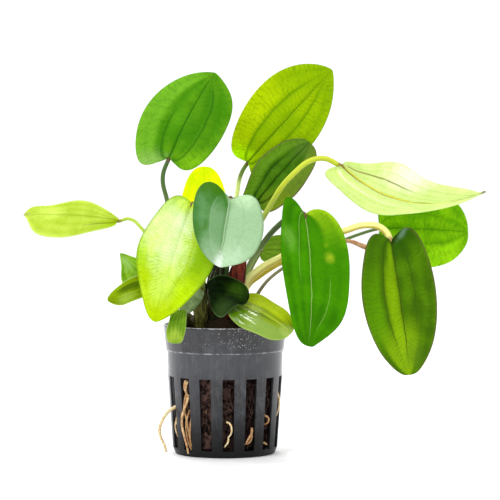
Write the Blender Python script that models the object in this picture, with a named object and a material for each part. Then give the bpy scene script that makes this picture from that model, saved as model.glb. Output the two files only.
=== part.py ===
"""An aquarium sword plant with heart-shaped leaves, growing in its slotted nursery pot.

The origin is the middle of the pot's underside, on the surface it stands on. +Z is up, and the
usual view looks along +Y. Sizes are in millimetres and become metres where a mesh is made.
"""

import math

import bmesh
import bpy
from mathutils import Matrix, Vector

for leftover in list(bpy.data.objects):
    bpy.data.objects.remove(leftover, do_unlink=True)

MM = 0.001
GAP = 0.3  # left between pieces that touch

# Pot: one thin moulding with a rim band, tall slots and a flat base
POT_HEIGHT = 55.5
POT_WALL = 1.0
RIM_RADIUS = 26.8
LIP_ROUNDING = 0.2  # how far the band's outer face draws in under the lip
BAND_FOOT_RADIUS = 25.3
BAND_FOOT_HEIGHT = 44.6
SHOULDER_RADIUS = 25.0
SHOULDER_HEIGHT = 43.9
WAIST_RADIUS = 24.7  # the wall flares from here up to the shoulder
WAIST_HEIGHT = 39.0
SLOT_TOP_RADIUS = 24.7
SLOT_TOP_HEIGHT = 33.6
SLOT_FOOT_RADIUS = 22.5
SLOT_FOOT_HEIGHT = 2.8
BASE_RADIUS = 21.7
BASE_CHAMFER = 0.7
BASE_THICKNESS = 1.2
SLOTS = 15
FIRST_SLOT_DEG = 3.9  # how far the front slot stands to the right of the front
FACETS_PER_SLOT = 2  # and as many on each rib
DRAIN_INNER_RADIUS = 8.5
DRAIN_OUTER_RADIUS = 17.0

# Growing plug and the crown that sits on it
PLUG_EDGE_HEIGHT = 52.0
PLUG_TOP_HEIGHT = 53.3
PLUG_SIDES = 30
PLUG_SLACK = 0.2  # the plug's extra play where the pot widens
PLUG_ROUNDING = 1.3  # how far the plug's upper edge is worn back
PLUG_SHOULDER = 2.0  # how far below its edge the plug starts to draw in
PLUG_SLOPE_RADIUS = 16.0  # inside this the plug's top is level
CROWN_CENTRE = Vector((-3.5, 0.5, PLUG_TOP_HEIGHT + GAP))
CROWN_RADII = Vector((14.0, 10.5, 8.5))
CROWN_CUT = 0.02  # height of the crown's flat underside, as a share of its height
SPROUT = 2.5  # how far a stalk leaves the crown squarely before it bends

# Leaves
BLADE_THICKNESS = 0.5
BLADE_ROWS = 12  # steps from stalk to tip
SMALL_BLADE_ROWS = 8
BLADE_HALF_COLUMNS = 2  # strips on each side of the midrib
VEIN_SPREAD = 1.3  # how late the cross rows leave the midrib
TUBE_STEPS = 2  # steps between the points of a stem or root


def plain_material(name, colour, roughness):
    """A Principled material of one colour."""
    finish = bpy.data.materials.new(name)
    finish.use_nodes = True
    shader = finish.node_tree.nodes["Principled BSDF"]
    shader.inputs["Base Color"].default_value = (*colour, 1.0)
    shader.inputs["Roughness"].default_value = roughness
    shader.inputs["Metallic"].default_value = 0.0
    return finish


def place(name, data, finish):
    """An object in the scene that shows data with its finish."""
    thing = bpy.data.objects.new(name, data)
    bpy.context.scene.collection.objects.link(thing)
    data.materials.append(finish)
    return thing


def mesh_from(bm, name, crease_deg=40):
    """A mesh made of bm, smooth but for the edges that turn by more than crease_deg."""
    bmesh.ops.recalc_face_normals(bm, faces=bm.faces)
    mesh = bpy.data.meshes.new(name)
    bm.to_mesh(mesh)
    bm.free()
    mesh.shade_smooth()
    mesh.set_sharp_from_angle(angle=math.radians(crease_deg))
    return mesh


def around(radius, height, turn):
    """A point in metres on a circle about the pot's axis, turn radians right of the front."""
    return Vector((radius * math.sin(turn), -radius * math.cos(turn), height)) * MM


def wall_radius(height):
    """The outer radius of the slotted wall."""
    share = (height - SLOT_FOOT_HEIGHT) / (SLOT_TOP_HEIGHT - SLOT_FOOT_HEIGHT)
    return SLOT_FOOT_RADIUS + share * (SLOT_TOP_RADIUS - SLOT_FOOT_RADIUS)


def net_pot():
    """The pot, turned from one closed profile, with its wall and base left open at each slot."""
    edge = 0.5 * POT_WALL
    profile = [
        (DRAIN_INNER_RADIUS, 0.0),
        (DRAIN_OUTER_RADIUS, 0.0),
        (BASE_RADIUS - BASE_CHAMFER, 0.0),
        (BASE_RADIUS, BASE_CHAMFER),
        (SLOT_FOOT_RADIUS, SLOT_FOOT_HEIGHT),
        (SLOT_TOP_RADIUS, SLOT_TOP_HEIGHT),
        (WAIST_RADIUS, WAIST_HEIGHT),
        (SHOULDER_RADIUS, SHOULDER_HEIGHT),
        (BAND_FOOT_RADIUS, BAND_FOOT_HEIGHT),
        (RIM_RADIUS - LIP_ROUNDING, POT_HEIGHT - edge),
        (RIM_RADIUS - edge, POT_HEIGHT),
        (RIM_RADIUS - POT_WALL, POT_HEIGHT - edge),
        (BAND_FOOT_RADIUS - POT_WALL, BAND_FOOT_HEIGHT + POT_WALL),
        (SHOULDER_RADIUS - POT_WALL, SHOULDER_HEIGHT - edge),
        (WAIST_RADIUS - POT_WALL, WAIST_HEIGHT),
        (SLOT_TOP_RADIUS - POT_WALL, SLOT_TOP_HEIGHT),
        (SLOT_FOOT_RADIUS - POT_WALL, SLOT_FOOT_HEIGHT),
        (BASE_RADIUS - POT_WALL, BASE_THICKNESS),
        (DRAIN_OUTER_RADIUS, BASE_THICKNESS),
        (DRAIN_INNER_RADIUS, BASE_THICKNESS),
    ]
    outer_slot, inner_slot = (4, 5), (16, 15)  # foot and head of a slot, on each side of the wall
    lower_drain, upper_drain = (0, 1), (19, 18)
    openings = [(outer_slot, inner_slot), (lower_drain, upper_drain)]
    opened = {min(pair) for pair_of_pairs in openings for pair in pair_of_pairs}

    steps = SLOTS * FACETS_PER_SLOT * 2
    start = math.radians(FIRST_SLOT_DEG) - math.pi / steps * FACETS_PER_SLOT
    bm = bmesh.new()
    rings = [
        [bm.verts.new(around(r, z, start + 2 * math.pi * i / steps)) for r, z in profile]
        for i in range(steps)
    ]
    for i in range(steps):
        here, there = rings[i], rings[(i + 1) % steps]
        is_slot = i % (2 * FACETS_PER_SLOT) < FACETS_PER_SLOT
        starts_slot = i % (2 * FACETS_PER_SLOT) == 0
        starts_rib = i % (2 * FACETS_PER_SLOT) == FACETS_PER_SLOT
        for j in range(len(profile) - 1):
            if not (is_slot and j in opened):
                bm.faces.new((here[j], there[j], there[j + 1], here[j + 1]))
        for (a, b), (c, d) in openings:
            if is_slot:
                bm.faces.new((here[a], there[a], there[c], here[c]))
                bm.faces.new((here[b], there[b], there[d], here[d]))
            if starts_slot or starts_rib:
                bm.faces.new((here[a], here[b], here[d], here[c]))
    bm.faces.new([ring[0] for ring in rings])
    bm.faces.new([ring[-1] for ring in rings])
    plastic = plain_material("dark_plastic", (0.06, 0.062, 0.068), 0.55)
    return place("net_pot", mesh_from(bm, "net_pot"), plastic)


def growing_plug():
    """The fibre plug: it fills the pot up to just below the rim, and its top is slightly domed."""
    inside = POT_WALL + GAP
    band_inside = BAND_FOOT_RADIUS - inside - PLUG_SLACK
    profile = [
        (BASE_RADIUS - inside - PLUG_SLACK, BASE_THICKNESS + GAP),
        (SLOT_FOOT_RADIUS - inside, SLOT_FOOT_HEIGHT + GAP),
        (SLOT_TOP_RADIUS - inside, SLOT_TOP_HEIGHT),
        (WAIST_RADIUS - inside, WAIST_HEIGHT),
        (SHOULDER_RADIUS - inside, SHOULDER_HEIGHT - GAP),
        (band_inside, PLUG_EDGE_HEIGHT - PLUG_SHOULDER),
        (band_inside - PLUG_ROUNDING, PLUG_EDGE_HEIGHT),
        (PLUG_SLOPE_RADIUS, PLUG_TOP_HEIGHT),
    ]
    bm = bmesh.new()
    rings = [
        [bm.verts.new(around(r, z, 2 * math.pi * i / PLUG_SIDES)) for i in range(PLUG_SIDES)]
        for r, z in profile
    ]
    for low, high in zip(rings, rings[1:]):
        for i in range(PLUG_SIDES):
            k = (i + 1) % PLUG_SIDES
            bm.faces.new((low[i], low[k], high[k], high[i]))
    bm.faces.new(rings[0])
    bm.faces.new(rings[-1])
    fibre = plain_material("dark_fibre", (0.045, 0.025, 0.016), 0.95)
    return place("growing_plug", mesh_from(bm, "growing_plug"), fibre)


def crown():
    """The rootstock: a low dome that stands on the plug."""
    bm = bmesh.new()
    bmesh.ops.create_uvsphere(bm, u_segments=16, v_segments=10, radius=1.0)
    cut = bmesh.ops.bisect_plane(
        bm,
        geom=bm.verts[:] + bm.edges[:] + bm.faces[:],
        plane_co=(0, 0, CROWN_CUT),
        plane_no=(0, 0, -1),
        clear_outer=True,
    )
    rim = [item for item in cut["geom_cut"] if isinstance(item, bmesh.types.BMEdge)]
    bmesh.ops.edgeloop_fill(bm, edges=rim)
    bmesh.ops.scale(bm, vec=CROWN_RADII * MM, verts=bm.verts)
    tissue = plain_material("crown_tissue", (0.16, 0.09, 0.04), 0.8)
    dome = place("crown", mesh_from(bm, "crown"), tissue)
    dome.location = CROWN_CENTRE * MM
    return dome


def on_crown(azimuth_deg, rise_deg):
    """The foot of a stalk, just off the crown, and the way it leaves: 0 is +X, 90 is the back."""
    azimuth, rise = math.radians(azimuth_deg), math.radians(rise_deg)
    way = Vector((math.cos(azimuth) * math.cos(rise), math.sin(azimuth) * math.cos(rise), math.sin(rise)))
    on_surface = Vector(a * b for a, b in zip(way, CROWN_RADII))
    outward = Vector(a / b for a, b in zip(way, CROWN_RADII)).normalized()
    return CROWN_CENTRE + on_surface + GAP * outward, outward


def tube(name, points, radii, finish):
    """A round stem through points, with a radius at each and flat ends."""
    curve = bpy.data.curves.new(name, "CURVE")
    curve.dimensions = "3D"
    curve.bevel_depth = MM
    curve.bevel_resolution = 1
    curve.use_fill_caps = True
    curve.resolution_u = TUBE_STEPS
    spline = curve.splines.new("BEZIER")
    spline.bezier_points.add(len(points) - 1)
    for knot, point, radius in zip(spline.bezier_points, points, radii):
        knot.co = Vector(point) * MM
        knot.radius = radius
        knot.handle_left_type = knot.handle_right_type = "AUTO"
    return place(name, curve, finish)


def blade_frame(base, tip, facing):
    """The blade's own axes: +Y from stalk to tip, +Z the way its upper face looks."""
    along = (Vector(tip) - Vector(base)).normalized()
    across = along.cross(Vector(facing)).normalized()
    up = across.cross(along)
    return Matrix((across, along, up)).transposed()


class Blade:
    """A heart-shaped blade. Every point has a place s from stalk (0) to tip (1) along the veins,
    and t from the left margin (-1) over the midrib (0) to the right margin (1)."""

    def __init__(
        self, length, width, lobe, heel, point, belly, arch, cup, folds, sweep, twist, skew, lean,
        left, right, lobes,
    ):
        self.length = length
        self.width = width
        self.lobe = lobe  # how far the lobes reach back past the stalk
        self.heel = heel  # power of the outline's curve beside the stalk: more is narrower
        self.point = point  # the same at the tip: more is sharper
        self.belly = belly  # how far the broadest place lies towards the stalk
        self.arch = arch  # how far the middle of the blade rises out of the straight line
        self.cup = cup  # how far both margins rise, in a round way
        self.folds = folds  # how steeply both halves rise from the midrib, at the stalk and further on
        self.sweep = sweep  # how far the midrib bends to the right
        self.twist = math.radians(twist)  # from stalk to tip, right side rising
        self.skew = skew  # how much wider the right half is
        self.lean = lean  # slope of the right half towards the tip
        self.left = left  # fullness of the left half at five places, a tenth to nine tenths of s
        self.right = right
        self.lobes = lobes  # how long the left and the right lobe are, as shares of lobe
        self.fullest = max(self.outline(i / 50) for i in range(51))

    def outline(self, s):
        turn = math.pi * s
        power = self.heel + (self.point - self.heel) * s
        return max(math.sin(turn), 0.0) ** power * (1 + self.belly * math.cos(turn))

    def fullness(self, s, t):
        """The smooth curve through the five values of one half."""
        values = self.right if t > 0 else self.left
        place = min(max(5 * s - 0.5, 0), 4)
        k = min(int(place), 3)
        f = place - k
        a, b, c, d = (values[min(max(k + step, 0), 4)] for step in (-1, 0, 1, 2))
        return b + 0.5 * f * (c - a + f * (2 * a - 5 * b + 4 * c - d + f * (3 * (b - c) + d - a)))

    def at(self, s, t):
        turn = math.pi * s
        side = 1 + self.skew if t > 0 else 1 - self.skew
        half = 0.5 * self.width * side * self.fullness(s, t) * self.outline(s) / self.fullest
        midrib = self.length * s**VEIN_SPREAD
        lobe = 2.5 * self.lobe * self.lobes[t > 0] * math.sin(turn) * (1 - s) ** 2
        margin = 0.5 * self.length * (1 - math.cos(turn)) - lobe
        x = t * half
        y = midrib + abs(t) * (margin - midrib) + self.lean * x
        v = y / self.length
        bow = 4 * v * (1 - v)
        ease = min(max(2 * v, 0), 1)
        fold = self.folds[0] + (self.folds[1] - self.folds[0]) * ease**2 * (3 - 2 * ease)
        rise = self.cup * (2 * x / self.width) ** 2 + fold * abs(x)
        turned = Matrix.Rotation(-self.twist * v, 3, "Y") @ Vector((x, 0, rise))
        return Vector((turned.x + self.sweep * bow, y, turned.z + self.arch * bow))


def blade_mesh(shape, name, rows):
    """The blade's upper face, to be thickened downwards."""
    bm = bmesh.new()
    columns = [k / BLADE_HALF_COLUMNS for k in range(-BLADE_HALF_COLUMNS, BLADE_HALF_COLUMNS + 1)]
    junction = bm.verts.new(shape.at(0, 0) * MM)
    tip = bm.verts.new(shape.at(1, 0) * MM)
    grid = [[bm.verts.new(shape.at(i / rows, t) * MM) for t in columns] for i in range(1, rows)]
    for k in range(len(columns) - 1):
        bm.faces.new((junction, grid[0][k + 1], grid[0][k]))
        bm.faces.new((tip, grid[-1][k], grid[-1][k + 1]))
        for low, high in zip(grid, grid[1:]):
            bm.faces.new((low[k], low[k + 1], high[k + 1], high[k]))
    mesh = bpy.data.meshes.new(name)
    bm.to_mesh(mesh)
    bm.free()
    mesh.shade_smooth()
    return mesh


def leaf(
    name, base, tip, facing, width, foot, stalk, colour,
    lobe=6, heel=0.8, point=1.0, belly=0.1, arch=2, cup=0,
    folds=(0, 0), sweep=0, twist=0, skew=0, lean=0, rows=BLADE_ROWS,
    left=(1, 1, 1, 1, 1), right=(1, 1, 1, 1, 1), lobes=(1, 1),
    thick=(1.3, 0.95), stalk_colour=(0.2, 0.3, 0.05),
):
    """One leaf: a blade from base to tip, and a stalk from the crown through the stalk points."""
    axes = blade_frame(base, tip, facing)
    length = (Vector(tip) - Vector(base)).length
    shape = Blade(
        length, width, lobe, heel, point, belly, arch, cup, folds, sweep, twist, skew, lean,
        left, right, lobes,
    )
    mesh = blade_mesh(shape, name + "_blade", rows)
    blade = place(name + "_blade", mesh, plain_material(name + "_green", colour, 0.45))
    blade.location = Vector(base) * MM
    blade.rotation_euler = axes.to_euler()
    shell = blade.modifiers.new("thickness", "SOLIDIFY")
    shell.thickness = BLADE_THICKNESS * MM
    shell.offset = -1

    start, outward = on_crown(*foot)
    under = axes @ Vector((0, 4 * arch / length, -1)).normalized()
    last_way = (Vector(base) - Vector(stalk[-1])).normalized()
    reach = thick[1] * last_way.cross(under).length
    end = Vector(base) + under * (BLADE_THICKNESS + GAP + reach) * math.hypot(1, folds[0])
    path = [start, start + SPROUT * outward] + [Vector(p) for p in stalk] + [end]
    last = len(path) - 1
    slim = [thick[0] + (thick[1] - thick[0]) * min(1, 2 * k / last) for k in range(last + 1)]
    tube(name + "_stalk", path, slim, plain_material(name + "_stalk_green", stalk_colour, 0.5))


def upper_leaves():
    """The leaves that stand above the rest."""
    leaf(
        "upper_left",
        base=(-24.1, 4, 126.9), tip=(-4.4, 11, 163.5), facing=(0.1, -1, 0.25),
        width=35.5, lobe=9, point=1.45, belly=0.02,
        sweep=-1, skew=-0.03, lean=0.2,
        left=(1, 0.97, 1, 1, 1), right=(1, 1, 0.99, 0.98, 0.78), lobes=(1.1, 0.75),
        foot=(150, 52), stalk=[(-22, 1, 90), (-24.8, 1, 108), (-26.8, 3, 118.5)],
        colour=(0.13, 0.42, 0.02), stalk_colour=(0.08, 0.16, 0.05),
    )
    leaf(
        "upper_middle",
        base=(9.9, 24, 124.5), tip=(46.8, 30, 164.8), facing=(0.1, -1, 0.3),
        width=34, lobe=6, point=1.5, belly=-0.07,
        skew=-0.12, lean=-0.1,
        left=(0.98, 0.96, 0.96, 0.95, 0.92), right=(1, 1.03, 1.06, 0.95, 0.75),
        foot=(80, 62), stalk=[(2, 12, 88), (5.1, 22, 110.6), (6.8, 25, 119)],
        colour=(0.4, 0.66, 0.01), stalk_colour=(0.25, 0.4, 0.05),
    )
    leaf(
        "dark_upper",
        base=(14, 12, 107.9), tip=(36.7, 17, 133.2), facing=(-0.2, -1, 0.3),
        width=22, lobe=6, point=0.8, belly=0, cup=1,
        left=(1, 0.85, 1, 0.95, 0.85), right=(1, 1.05, 1.08, 1.06, 1), lobes=(1, 0.7),
        foot=(35, 62), stalk=[(7, 8, 86), (11.5, 11, 99)],
        colour=(0.06, 0.2, 0.01), stalk_colour=(0.1, 0.14, 0.04),
    )
    leaf(
        "outstretched",
        base=(50.1, -4, 124), tip=(111.8, -4, 112.8), facing=(0.1, -0.78, 0.62),
        width=30, lobe=7.5, point=3.2, belly=0.15, arch=-8,
        folds=(-0.15, 0.3), sweep=7, twist=28, skew=-0.04, lean=-0.48,
        left=(1, 1.4, 0.85, 0.8, 1), right=(1.8, 1.05, 1.02, 1.08, 1.5), lobes=(0.3, 0.75),
        foot=(-35, 60),
        stalk=[(5, -7, 76), (9.5, -8, 88), (18, -6, 104.3), (28.3, -7, 119.3), (40.3, -5, 126.8)],
        thick=(1.4, 1.15), colour=(0.6, 0.8, 0.35), stalk_colour=(0.45, 0.55, 0.05),
    )
    leaf(
        "yellow_back",
        base=(-10, 18, 88), tip=(-9.1, 22, 122.6), facing=(0.1, -1, 0.2),
        width=21, lobe=5, point=0.8,
        foot=(112, 52), stalk=[(-9.6, 18, 74)],
        colour=(0.75, 0.8, 0.0),
    )


def front_leaves():
    """The leaves that hang in front of the crown."""
    leaf(
        "front_heart",
        base=(2.4, -37, 110.9), tip=(-2.3, -35, 82.2), facing=(0, -1, 0.25),
        width=30, lobe=8, point=1.1, belly=0.15, arch=1,
        folds=(0.15, 0.15), lean=-0.25,
        left=(1, 1, 1.08, 1.02, 0.6), right=(0.9, 0.97, 0.97, 1, 1), lobes=(1, 0.78),
        foot=(-75, 62), stalk=[(0.5, -6, 76), (1.5, -14, 92), (2.6, -30, 107.5)],
        colour=(0.22, 0.5, 0.25), stalk_colour=(0.12, 0.2, 0.06),
    )
    leaf(
        "lime_front",
        base=(-13.7, -26, 108.6), tip=(-29.8, -24, 58.3), facing=(-0.2, -1, 0.2),
        width=33.5, lobe=6, point=1.15, belly=0, arch=3,
        skew=-0.08,
        left=(1, 1, 0.98, 0.77, 0.55), right=(1, 0.95, 1.04, 0.78, 0.65), lobes=(1, 0.72),
        foot=(-125, 52), stalk=[(-10, -14, 84), (-12.5, -22, 104)],
        colour=(0.55, 0.8, 0.03),
    )
    leaf(
        "hanging_centre",
        base=(33.8, -29, 103.6), tip=(35.4, -31, 48.4), facing=(-0.05, -1, 0.1),
        width=28.8, lobe=11.5, heel=1.1, point=0.8, belly=0, arch=3,
        sweep=-2, skew=-0.12, lean=-0.28,
        left=(1.3, 1.13, 1, 0.95, 0.5), right=(0.95, 0.87, 0.95, 0.88, 0.85), lobes=(0.75, 1),
        foot=(-5, 50), stalk=[(8.3, -2.5, 75.5), (15.9, -8, 89.9), (23.1, -14, 98.7), (30, -23, 103.5)],
        thick=(1.3, 1.2), colour=(0.06, 0.35, 0.01), stalk_colour=(0.04, 0.08, 0.03),
    )
    leaf(
        "hanging_right",
        base=(70.6, -16, 92.4), tip=(78.8, -18, 35.1), facing=(0.1, -1, 0.1),
        width=30.5, lobe=9, point=0.8, belly=0.05, arch=3,
        left=(1, 1, 1.03, 0.96, 0.75), right=(0.85, 0.92, 1.07, 1, 0.78), lobes=(1, 0.88),
        foot=(-28, 36),
        stalk=[
            (8.9, -6.5, 72.8), (15.2, -8, 79.6), (23, -10, 84.2), (38, -14, 92.3), (50.7, -16, 96.3),
            (60, -15.5, 98.8), (67, -14.5, 97.2),
        ],
        thick=(1.9, 1.3), colour=(0.09, 0.2, 0.01), stalk_colour=(0.6, 0.5, 0.08),
    )


def side_and_back_leaves():
    """The leaves at the far left, the right-hand back and behind the others."""
    leaf(
        "far_left",
        base=(-46.5, 6, 99.9), tip=(-87, 6, 102.1), facing=(0, -0.75, 0.65),
        width=18.5, lobe=2, point=0.9, belly=-0.1,
        lean=-0.35,
        left=(0.9, 1, 1.4, 1.2, 0.25), right=(0.3, 0.62, 0.87, 0.62, 0.88),
        foot=(172, 32), stalk=[(-24, 1, 78), (-36.2, 5, 96.5), (-41.4, 7.8, 100.3)],
        thick=(1.2, 0.7), colour=(0.5, 0.75, 0.08),
    )
    leaf(
        "broad_back",
        base=(67.6, 20, 95.8), tip=(106.5, 27, 93.5), facing=(0, -1, 0.3),
        width=35, lobe=3, point=0.8, belly=0, right=(1, 1, 1, 0.95, 0.8),
        foot=(18, 25), stalk=[(14.6, 1, 69.2), (23.3, 3, 78.1), (51.6, 14, 90.9)],
        thick=(1.2, 0.7), colour=(0.12, 0.45, 0.01),
    )
    leaf(
        "hidden_olive",
        base=(16.5, 13, 86.6), tip=(42, 18, 84), facing=(0, -0.9, 0.4),
        width=14, lobe=3,
        rows=SMALL_BLADE_ROWS,
        foot=(62, 42), stalk=[(10, 11.5, 76)],
        thick=(1.0, 0.6), colour=(0.14, 0.3, 0.02),
    )


def low_leaves():
    """The small leaves near the rim."""
    leaf(
        "curled_upper",
        base=(-34, 2, 75), tip=(-45.3, 4, 85.5), facing=(-0.3, -0.8, 0.5),
        width=11, lobe=2, arch=-2,
        rows=SMALL_BLADE_ROWS,
        left=(1, 1.4, 1.5, 0.75, 0.3), right=(1, 1, 0.9, 0.6, 0.45),
        foot=(190, 20), stalk=[(-24, 1, 66)],
        thick=(1.0, 0.6), colour=(0.15, 0.42, 0.02),
    )
    leaf(
        "curled_lower",
        base=(-33, -2, 72), tip=(-50.5, -3, 66), facing=(0.1, -0.9, 0.4),
        width=12, lobe=2, arch=2,
        rows=SMALL_BLADE_ROWS,
        left=(1, 0.8, 0.85, 1, 0.8), right=(1, 1, 0.85, 0.65, 0.45),
        foot=(207, 15), stalk=[(-24, -2, 63)],
        thick=(1.0, 0.6), colour=(0.2, 0.48, 0.03),
    )
    leaf(
        "low_glossy",
        base=(5, -19.5, 65.6), tip=(28.2, -29, 53.9), facing=(0.3, -0.8, 0.6),
        width=22, lobe=3, point=0.7, belly=0,
        rows=SMALL_BLADE_ROWS,
        left=(1, 0.9, 0.81, 0.78, 0.7), right=(0.84, 0.95, 1.02, 1.02, 1),
        foot=(-50, 22), stalk=[(4.8, -13, 60)],
        thick=(1.2, 0.7), colour=(0.3, 0.5, 0.05),
    )
    leaf(
        "small_dark",
        base=(-7, -17.5, 71), tip=(10.4, -23.5, 68.4), facing=(-0.1, -0.9, 0.4),
        width=14, lobe=3,
        rows=SMALL_BLADE_ROWS,
        left=(1, 1.05, 1.05, 1.05, 1.1), right=(0.8, 1.42, 1.6, 0.84, 1.3), lobes=(1, -0.35),
        foot=(-100, 42), stalk=[(-6.5, -14, 66)],
        thick=(1.0, 0.6), colour=(0.02, 0.06, 0.01),
    )
    leaf(
        "over_rim",
        base=(-18.5, -21, 63), tip=(-20.5, -30, 49.6), facing=(-0.2, -0.8, 0.6),
        width=8.2, lobe=1, point=0.7, arch=1,
        rows=SMALL_BLADE_ROWS,
        left=(0.8, 0.8, 0.85, 1.05, 1.3), right=(1, 1, 1.1, 1.35, 1.7),
        foot=(-136, 14), stalk=[(-16, -14, 60)],
        thick=(1.0, 0.6), colour=(0.25, 0.5, 0.05),
    )


def old_growth():
    """What is left of earlier leaves: a cut stalk with a knob at its end, and a dark red sheath."""
    start, outward = on_crown(40, 38)
    tube(
        "old_stalk",
        [
            start, start + SPROUT * outward, (9.3, 4.5, 71.8), (15, 5, 76.4), (23.2, 5.8, 81.3), (38, 5, 88.2),
            (52.5, 2, 91.1), (60, 2.6, 88.6), (63, 3, 87.6),
        ],
        (1.6, 1.8, 1.9, 1.6, 1.35, 1.1, 0.8, 1.1, 1.4),
        plain_material("dead_stalk", (0.6, 0.35, 0.2), 0.7),
    )
    start, outward = on_crown(-58, 42)
    tube(
        "red_sheath",
        [start, start + SPROUT * outward, (4.5, -9, 71), (8, -11, 81)],
        (1.6, 1.8, 1.8, 0.5),
        plain_material("sheath_red", (0.12, 0.02, 0.01), 0.6),
    )


def beside_slot(slot, side, height, out):
    """A point by a slot of the wall: slot 0 faces the front, and more are counted to the right. side
    is along the wall from the slot's middle, and out is from the wall's outer face."""
    radius = wall_radius(height) + out
    turn = math.radians(FIRST_SLOT_DEG + slot * 360 / SLOTS) + side / radius
    return around(radius, height, turn) / MM


def root(name, slot, route, radius=0.45):
    """A root that has grown out of the plug at one slot. Its route holds the sideways place, the
    height and the reach of its points."""
    path = [beside_slot(slot, *place_on_wall) for place_on_wall in route]
    tube(name, path, [radius] * len(path), plain_material(name + "_skin", (0.75, 0.55, 0.28), 0.6))


def roots():
    """The roots on the outside of the pot, from the left round the front to the back."""
    root(
        "outer_root", -3,
        [
            (0, 20.6, -0.5), (-0.3, 18.6, 2.2), (-0.3, 14.8, 5.4), (0, 11, 7),
            (0, 8, 6.8), (0.6, 4.6, 5.6), (1, 1.4, 5),
        ],
        radius=0.75,
    )
    root(
        "left_root", -2,
        [(0.2, 31.8, -0.3), (-0.7, 24, 0.9), (-1.2, 13.5, 1.4), (-0.2, 5, 1.2), (1.3, 1.4, 1.0)],
        radius=0.75,
    )
    root("left_thin_root", -2, [(1.45, 26, -0.4), (1.2, 18, 0.2), (1, 12, 0), (1.6, 8, -0.6)])
    root("side_root", -3, [(0.2, 16, -0.6), (0.8, 12, 0), (-0.2, 7.5, -0.3)])
    root("front_root", 0, [(-0.4, 15.6, -0.6), (1.3, 13.4, -0.2), (1.1, 11, -0.1), (-0.6, 6.2, -0.6)])
    root("right_front_root", 1, [(-0.3, 13, -0.6), (0.2, 10, -0.1), (-0.2, 6.5, -0.6)])
    root("right_root", 2, [(-0.6, 17.5, -0.6), (0.6, 14, 0), (-0.3, 10.5, 0), (-0.6, 8, -0.6)])
    root("far_right_root", 3, [(0.4, 27, -0.6), (0.2, 23.5, -0.1), (0.6, 20, -0.6)])
    root("back_root", 7, [(-1, 25, -0.6), (0.8, 19, 0.3), (0.2, 12, 0.4), (-1, 7, -0.3)])
    root("left_back_root", -5, [(0.8, 14, -0.6), (-0.8, 11, 0), (0.3, 6.5, -0.6)])


net_pot()
growing_plug()
crown()
upper_leaves()
front_leaves()
side_and_back_leaves()
low_leaves()
old_growth()
roots()
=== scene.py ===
"""The looks of an aquarium sword plant with heart-shaped leaves, in its slotted nursery pot.

It is put together as a nursery does it: the pot, the fibre plug in it, the crown on the plug, the
leaves on their stalks, what is left of older growth, and the roots that have found the slots.
Sizes are in millimetres, with the origin under the middle of the pot, and become metres where a
mesh is made. Colours are written rrggbb, as on a screen.
"""

import math
import random

import bmesh
import bpy
from mathutils import Matrix, Vector


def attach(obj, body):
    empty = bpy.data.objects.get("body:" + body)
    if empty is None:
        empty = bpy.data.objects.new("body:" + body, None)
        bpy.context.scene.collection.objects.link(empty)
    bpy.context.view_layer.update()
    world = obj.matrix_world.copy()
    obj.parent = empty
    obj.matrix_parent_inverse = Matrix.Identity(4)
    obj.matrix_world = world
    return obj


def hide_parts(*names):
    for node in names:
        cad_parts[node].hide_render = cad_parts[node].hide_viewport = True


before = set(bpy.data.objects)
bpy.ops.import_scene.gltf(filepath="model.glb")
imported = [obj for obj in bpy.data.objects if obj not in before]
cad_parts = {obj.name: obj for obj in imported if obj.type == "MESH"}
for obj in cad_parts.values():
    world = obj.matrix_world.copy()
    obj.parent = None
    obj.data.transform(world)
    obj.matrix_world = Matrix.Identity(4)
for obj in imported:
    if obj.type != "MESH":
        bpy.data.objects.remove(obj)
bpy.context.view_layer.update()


# The pot
# A thin injection moulding in dark grey plastic: a plain rim band, a wall with 15 tall slots and a
# flat base with drain openings. It is turned from one profile, and the slots are cut through it.

MM = 0.001
POT_HEIGHT = 55.5
POT_WALL = 1.0
RIM_RADIUS = 26.8
BAND_FOOT_RADIUS = 25.3
BAND_FOOT_HEIGHT = 44.6
SHOULDER_RADIUS = 25.0
SHOULDER_HEIGHT = 43.9
WAIST_RADIUS = 24.7
WAIST_HEIGHT = 39.0
SLOT_TOP_RADIUS = 24.7
SLOT_TOP_HEIGHT = 33.6
SLOT_FOOT_RADIUS = 22.5
SLOT_FOOT_HEIGHT = 2.8
BASE_RADIUS = 21.7
BASE_THICKNESS = 1.2
SLOTS = 15
FIRST_SLOT_DEG = 3.9
SLOT_HALF = 0.25  # of the pitch from slot to slot
FACETS_PER_SLOT = 8
DRAIN_INNER_RADIUS = 8.5
DRAIN_OUTER_RADIUS = 17.0
EDGE_SOFTNESS = 0.22


def srgb(code):
    """A screen colour in the linear values that light is worked out in."""
    parts = [int(code[i:i + 2], 16) / 255 for i in (0, 2, 4)]
    return tuple(p / 12.92 if p <= 0.04045 else ((p + 0.055) / 1.055) ** 2.4 for p in parts)


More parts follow.
